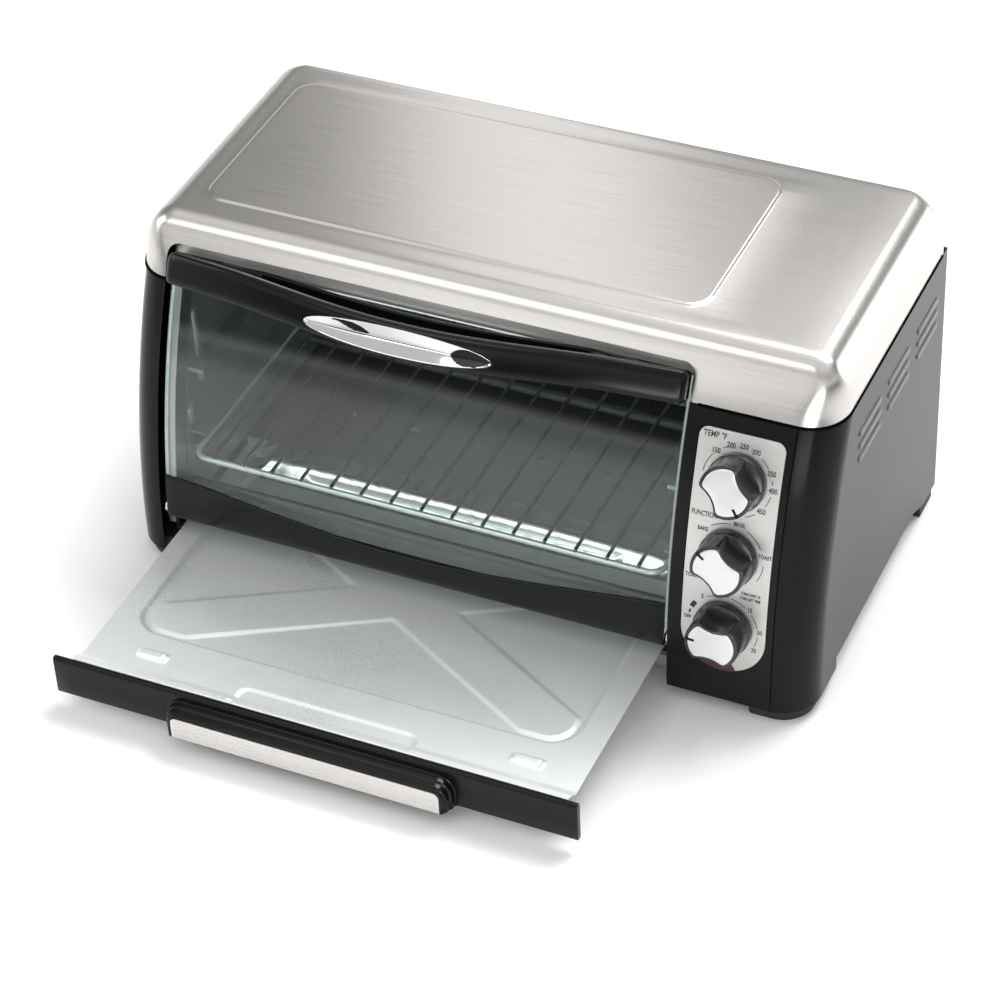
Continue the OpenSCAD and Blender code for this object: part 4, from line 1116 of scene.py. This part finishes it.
def front_feet():
    """Feet that follow the rounded front corners of the casing."""
    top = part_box("foot_front_right")[1].z / MM
    r, x0, x1, y0, y1 = 21.0, 191.0, HW - 3.6, 3.6, 44.0
    cx, cy = (x0 + x1) / 2, (y0 + y1) / 2
    outline = [(x0, y1), (x0, y0 + 1), (x0 + 1, y0)] + arc(x1 - r, y0 + r, r, range(-90, 1, 6)) + [(x1, y1)]
    for name, sign in (("foot_front_right", 1), ("foot_front_left", -1)):
        rings = []
        for inset, z in ((1.6, 0.0), (0.4, 0.5), (0.0, 1.6), (0.0, top)):
            rings.append([(sign * (cx + (x - cx) * (1 - inset / 22)), cy + (y - cy) * (1 - inset / 21), z)
                          for x, y in outline])
        mesh(name + "_pad", *loft(rings), "casing", "black_plastic", [RUBBER], replaces=[name], sharp=40)


seams()
front_feet()


# ---- studio -----------------------------------------------------------------------------------

FLOOR_HALF = 14
floor_data = bpy.data.meshes.new("studio_floor")
floor_data.from_pydata([(x * FLOOR_HALF, y * FLOOR_HALF, 0) for x, y in ((-1, -1), (1, -1), (1, 1), (-1, 1))],
                       [], [(0, 1, 2, 3)])
floor_data.materials.append(FLOOR)
floor = bpy.data.objects.new("studio_floor", floor_data)
bpy.context.scene.collection.objects.link(floor)

CAM_AZ, CAM_EL, CAM_ROLL = math.radians(26.024), math.radians(39.536), math.radians(-3.083)
CAM_AT = Vector((0.69419, -1.35226 + Y_SHIFT * MM, 1.36505))
CAM_LENS = 117.98


def studio_world():
    """White room that is dimmer on the viewer's side and softly banded with height."""
    w = bpy.data.worlds.new("studio")
    bpy.context.scene.world = w
    w.use_nodes = True
    nt = w.node_tree
    link = nt.links.new
    bg = nt.nodes["Background"]
    coord = add_node(nt, "TexCoord")
    split = add_node(nt, "SeparateXYZ")
    link(coord.outputs["Generated"], split.inputs["Vector"])

    def banded(stops):
        """Brightness by height."""
        node = add_node(nt, "ValToRGB")
        node.color_ramp.interpolation = "EASE"
        while len(node.color_ramp.elements) < len(stops):
            node.color_ramp.elements.new(0.5)
        for e, (at, v) in zip(node.color_ramp.elements, stops):
            e.position = at
            e.color = (v, v, v, 1)
        link(split.outputs["Z"], node.inputs["Fac"])
        return node

    far = banded([(0.0, 0.95), (0.14, 1.0), (0.32, 0.48), (0.50, 0.26), (0.72, 0.36), (0.92, 1.1)])
    near = banded([(0.0, 0.9), (0.04, 0.10), (0.18, 0.05), (0.28, 1.35), (0.38, 0.6), (0.52, 0.62),
                   (0.90, 1.0)])
    facing = add_node(nt, "VectorMath", {1: (math.sin(CAM_AZ), -math.cos(CAM_AZ), 0.25)},
                      operation="DOT_PRODUCT")
    link(coord.outputs["Generated"], facing.inputs[0])
    side = add_node(nt, "MapRange", {"From Min": 0.1, "From Max": 0.6}, interpolation_type="SMOOTHSTEP")
    link(facing.outputs["Value"], side.inputs["Value"])
    both = add_node(nt, "Mix")
    link(side.outputs["Result"], both.inputs["Factor"])
    link(far.outputs["Color"], both.inputs["A"])
    link(near.outputs["Color"], both.inputs["B"])
    link(both.outputs["Result"], bg.inputs["Strength"])
    bg.inputs["Color"].default_value = (1.0, 0.995, 0.985, 1)


studio_world()


def lamp(name, at, target, size, power):
    data = bpy.data.lights.new(name, "AREA")
    data.shape = "RECTANGLE"
    data.size, data.size_y = size
    data.energy = power
    obj = bpy.data.objects.new(name, data)
    bpy.context.scene.collection.objects.link(obj)
    obj.location = at
    obj.rotation_euler = (Vector(target) - Vector(at)).to_track_quat("-Z", "Y").to_euler()


lamp("overhead", (0.48, 1.3, 2.3), (0, 0, 0.05), (1.7, 1.2), 72)
lamp("back_strip", (-0.74, 1.68, 1.36), (0.0, 0.1, 0.2), (0.34, 0.95), 1.15)
lamp("right_rear", (1.75, 1.65, 0.5), (0, 0, 0.15), (1.5, 0.9), 9)
lamp("front_key", (-0.95, -1.85, 2.0), (0, 0, 0.1), (1.1, 0.9), 9)
lamp("fill_left", (-1.9, -0.6, 1.0), (-0.3, 0, 0.0), (1.0, 1.0), 9)
lamp("strip_glow", (-0.8, -2.2, 0.74), (0, -0.05, 0.2), (0.6, 0.22), 1.2)
lamp("low_front", (0.75, -2.1, 0.32), (-0.05, 0.1, 0.17), (1.2, 0.4), 10)

camera_data = bpy.data.cameras.new("camera")
camera = bpy.data.objects.new("camera", camera_data)
bpy.context.scene.collection.objects.link(camera)
bpy.context.scene.camera = camera
forward = Vector((-math.sin(CAM_AZ) * math.cos(CAM_EL), math.cos(CAM_AZ) * math.cos(CAM_EL),
                  -math.sin(CAM_EL)))
right0 = Vector((math.cos(CAM_AZ), math.sin(CAM_AZ), 0))
up0 = right0.cross(forward)
right = right0 * math.cos(CAM_ROLL) + up0 * math.sin(CAM_ROLL)
up = right.cross(forward)
camera.matrix_world = Matrix((
    (right.x, up.x, -forward.x, CAM_AT.x),
    (right.y, up.y, -forward.y, CAM_AT.y),
    (right.z, up.z, -forward.z, CAM_AT.z),
    (0, 0, 0, 1)))
camera_data.sensor_width = 36.0
camera_data.lens = CAM_LENS
camera_data.clip_end = 20.0

bpy.context.scene.view_settings.view_transform = "Standard"
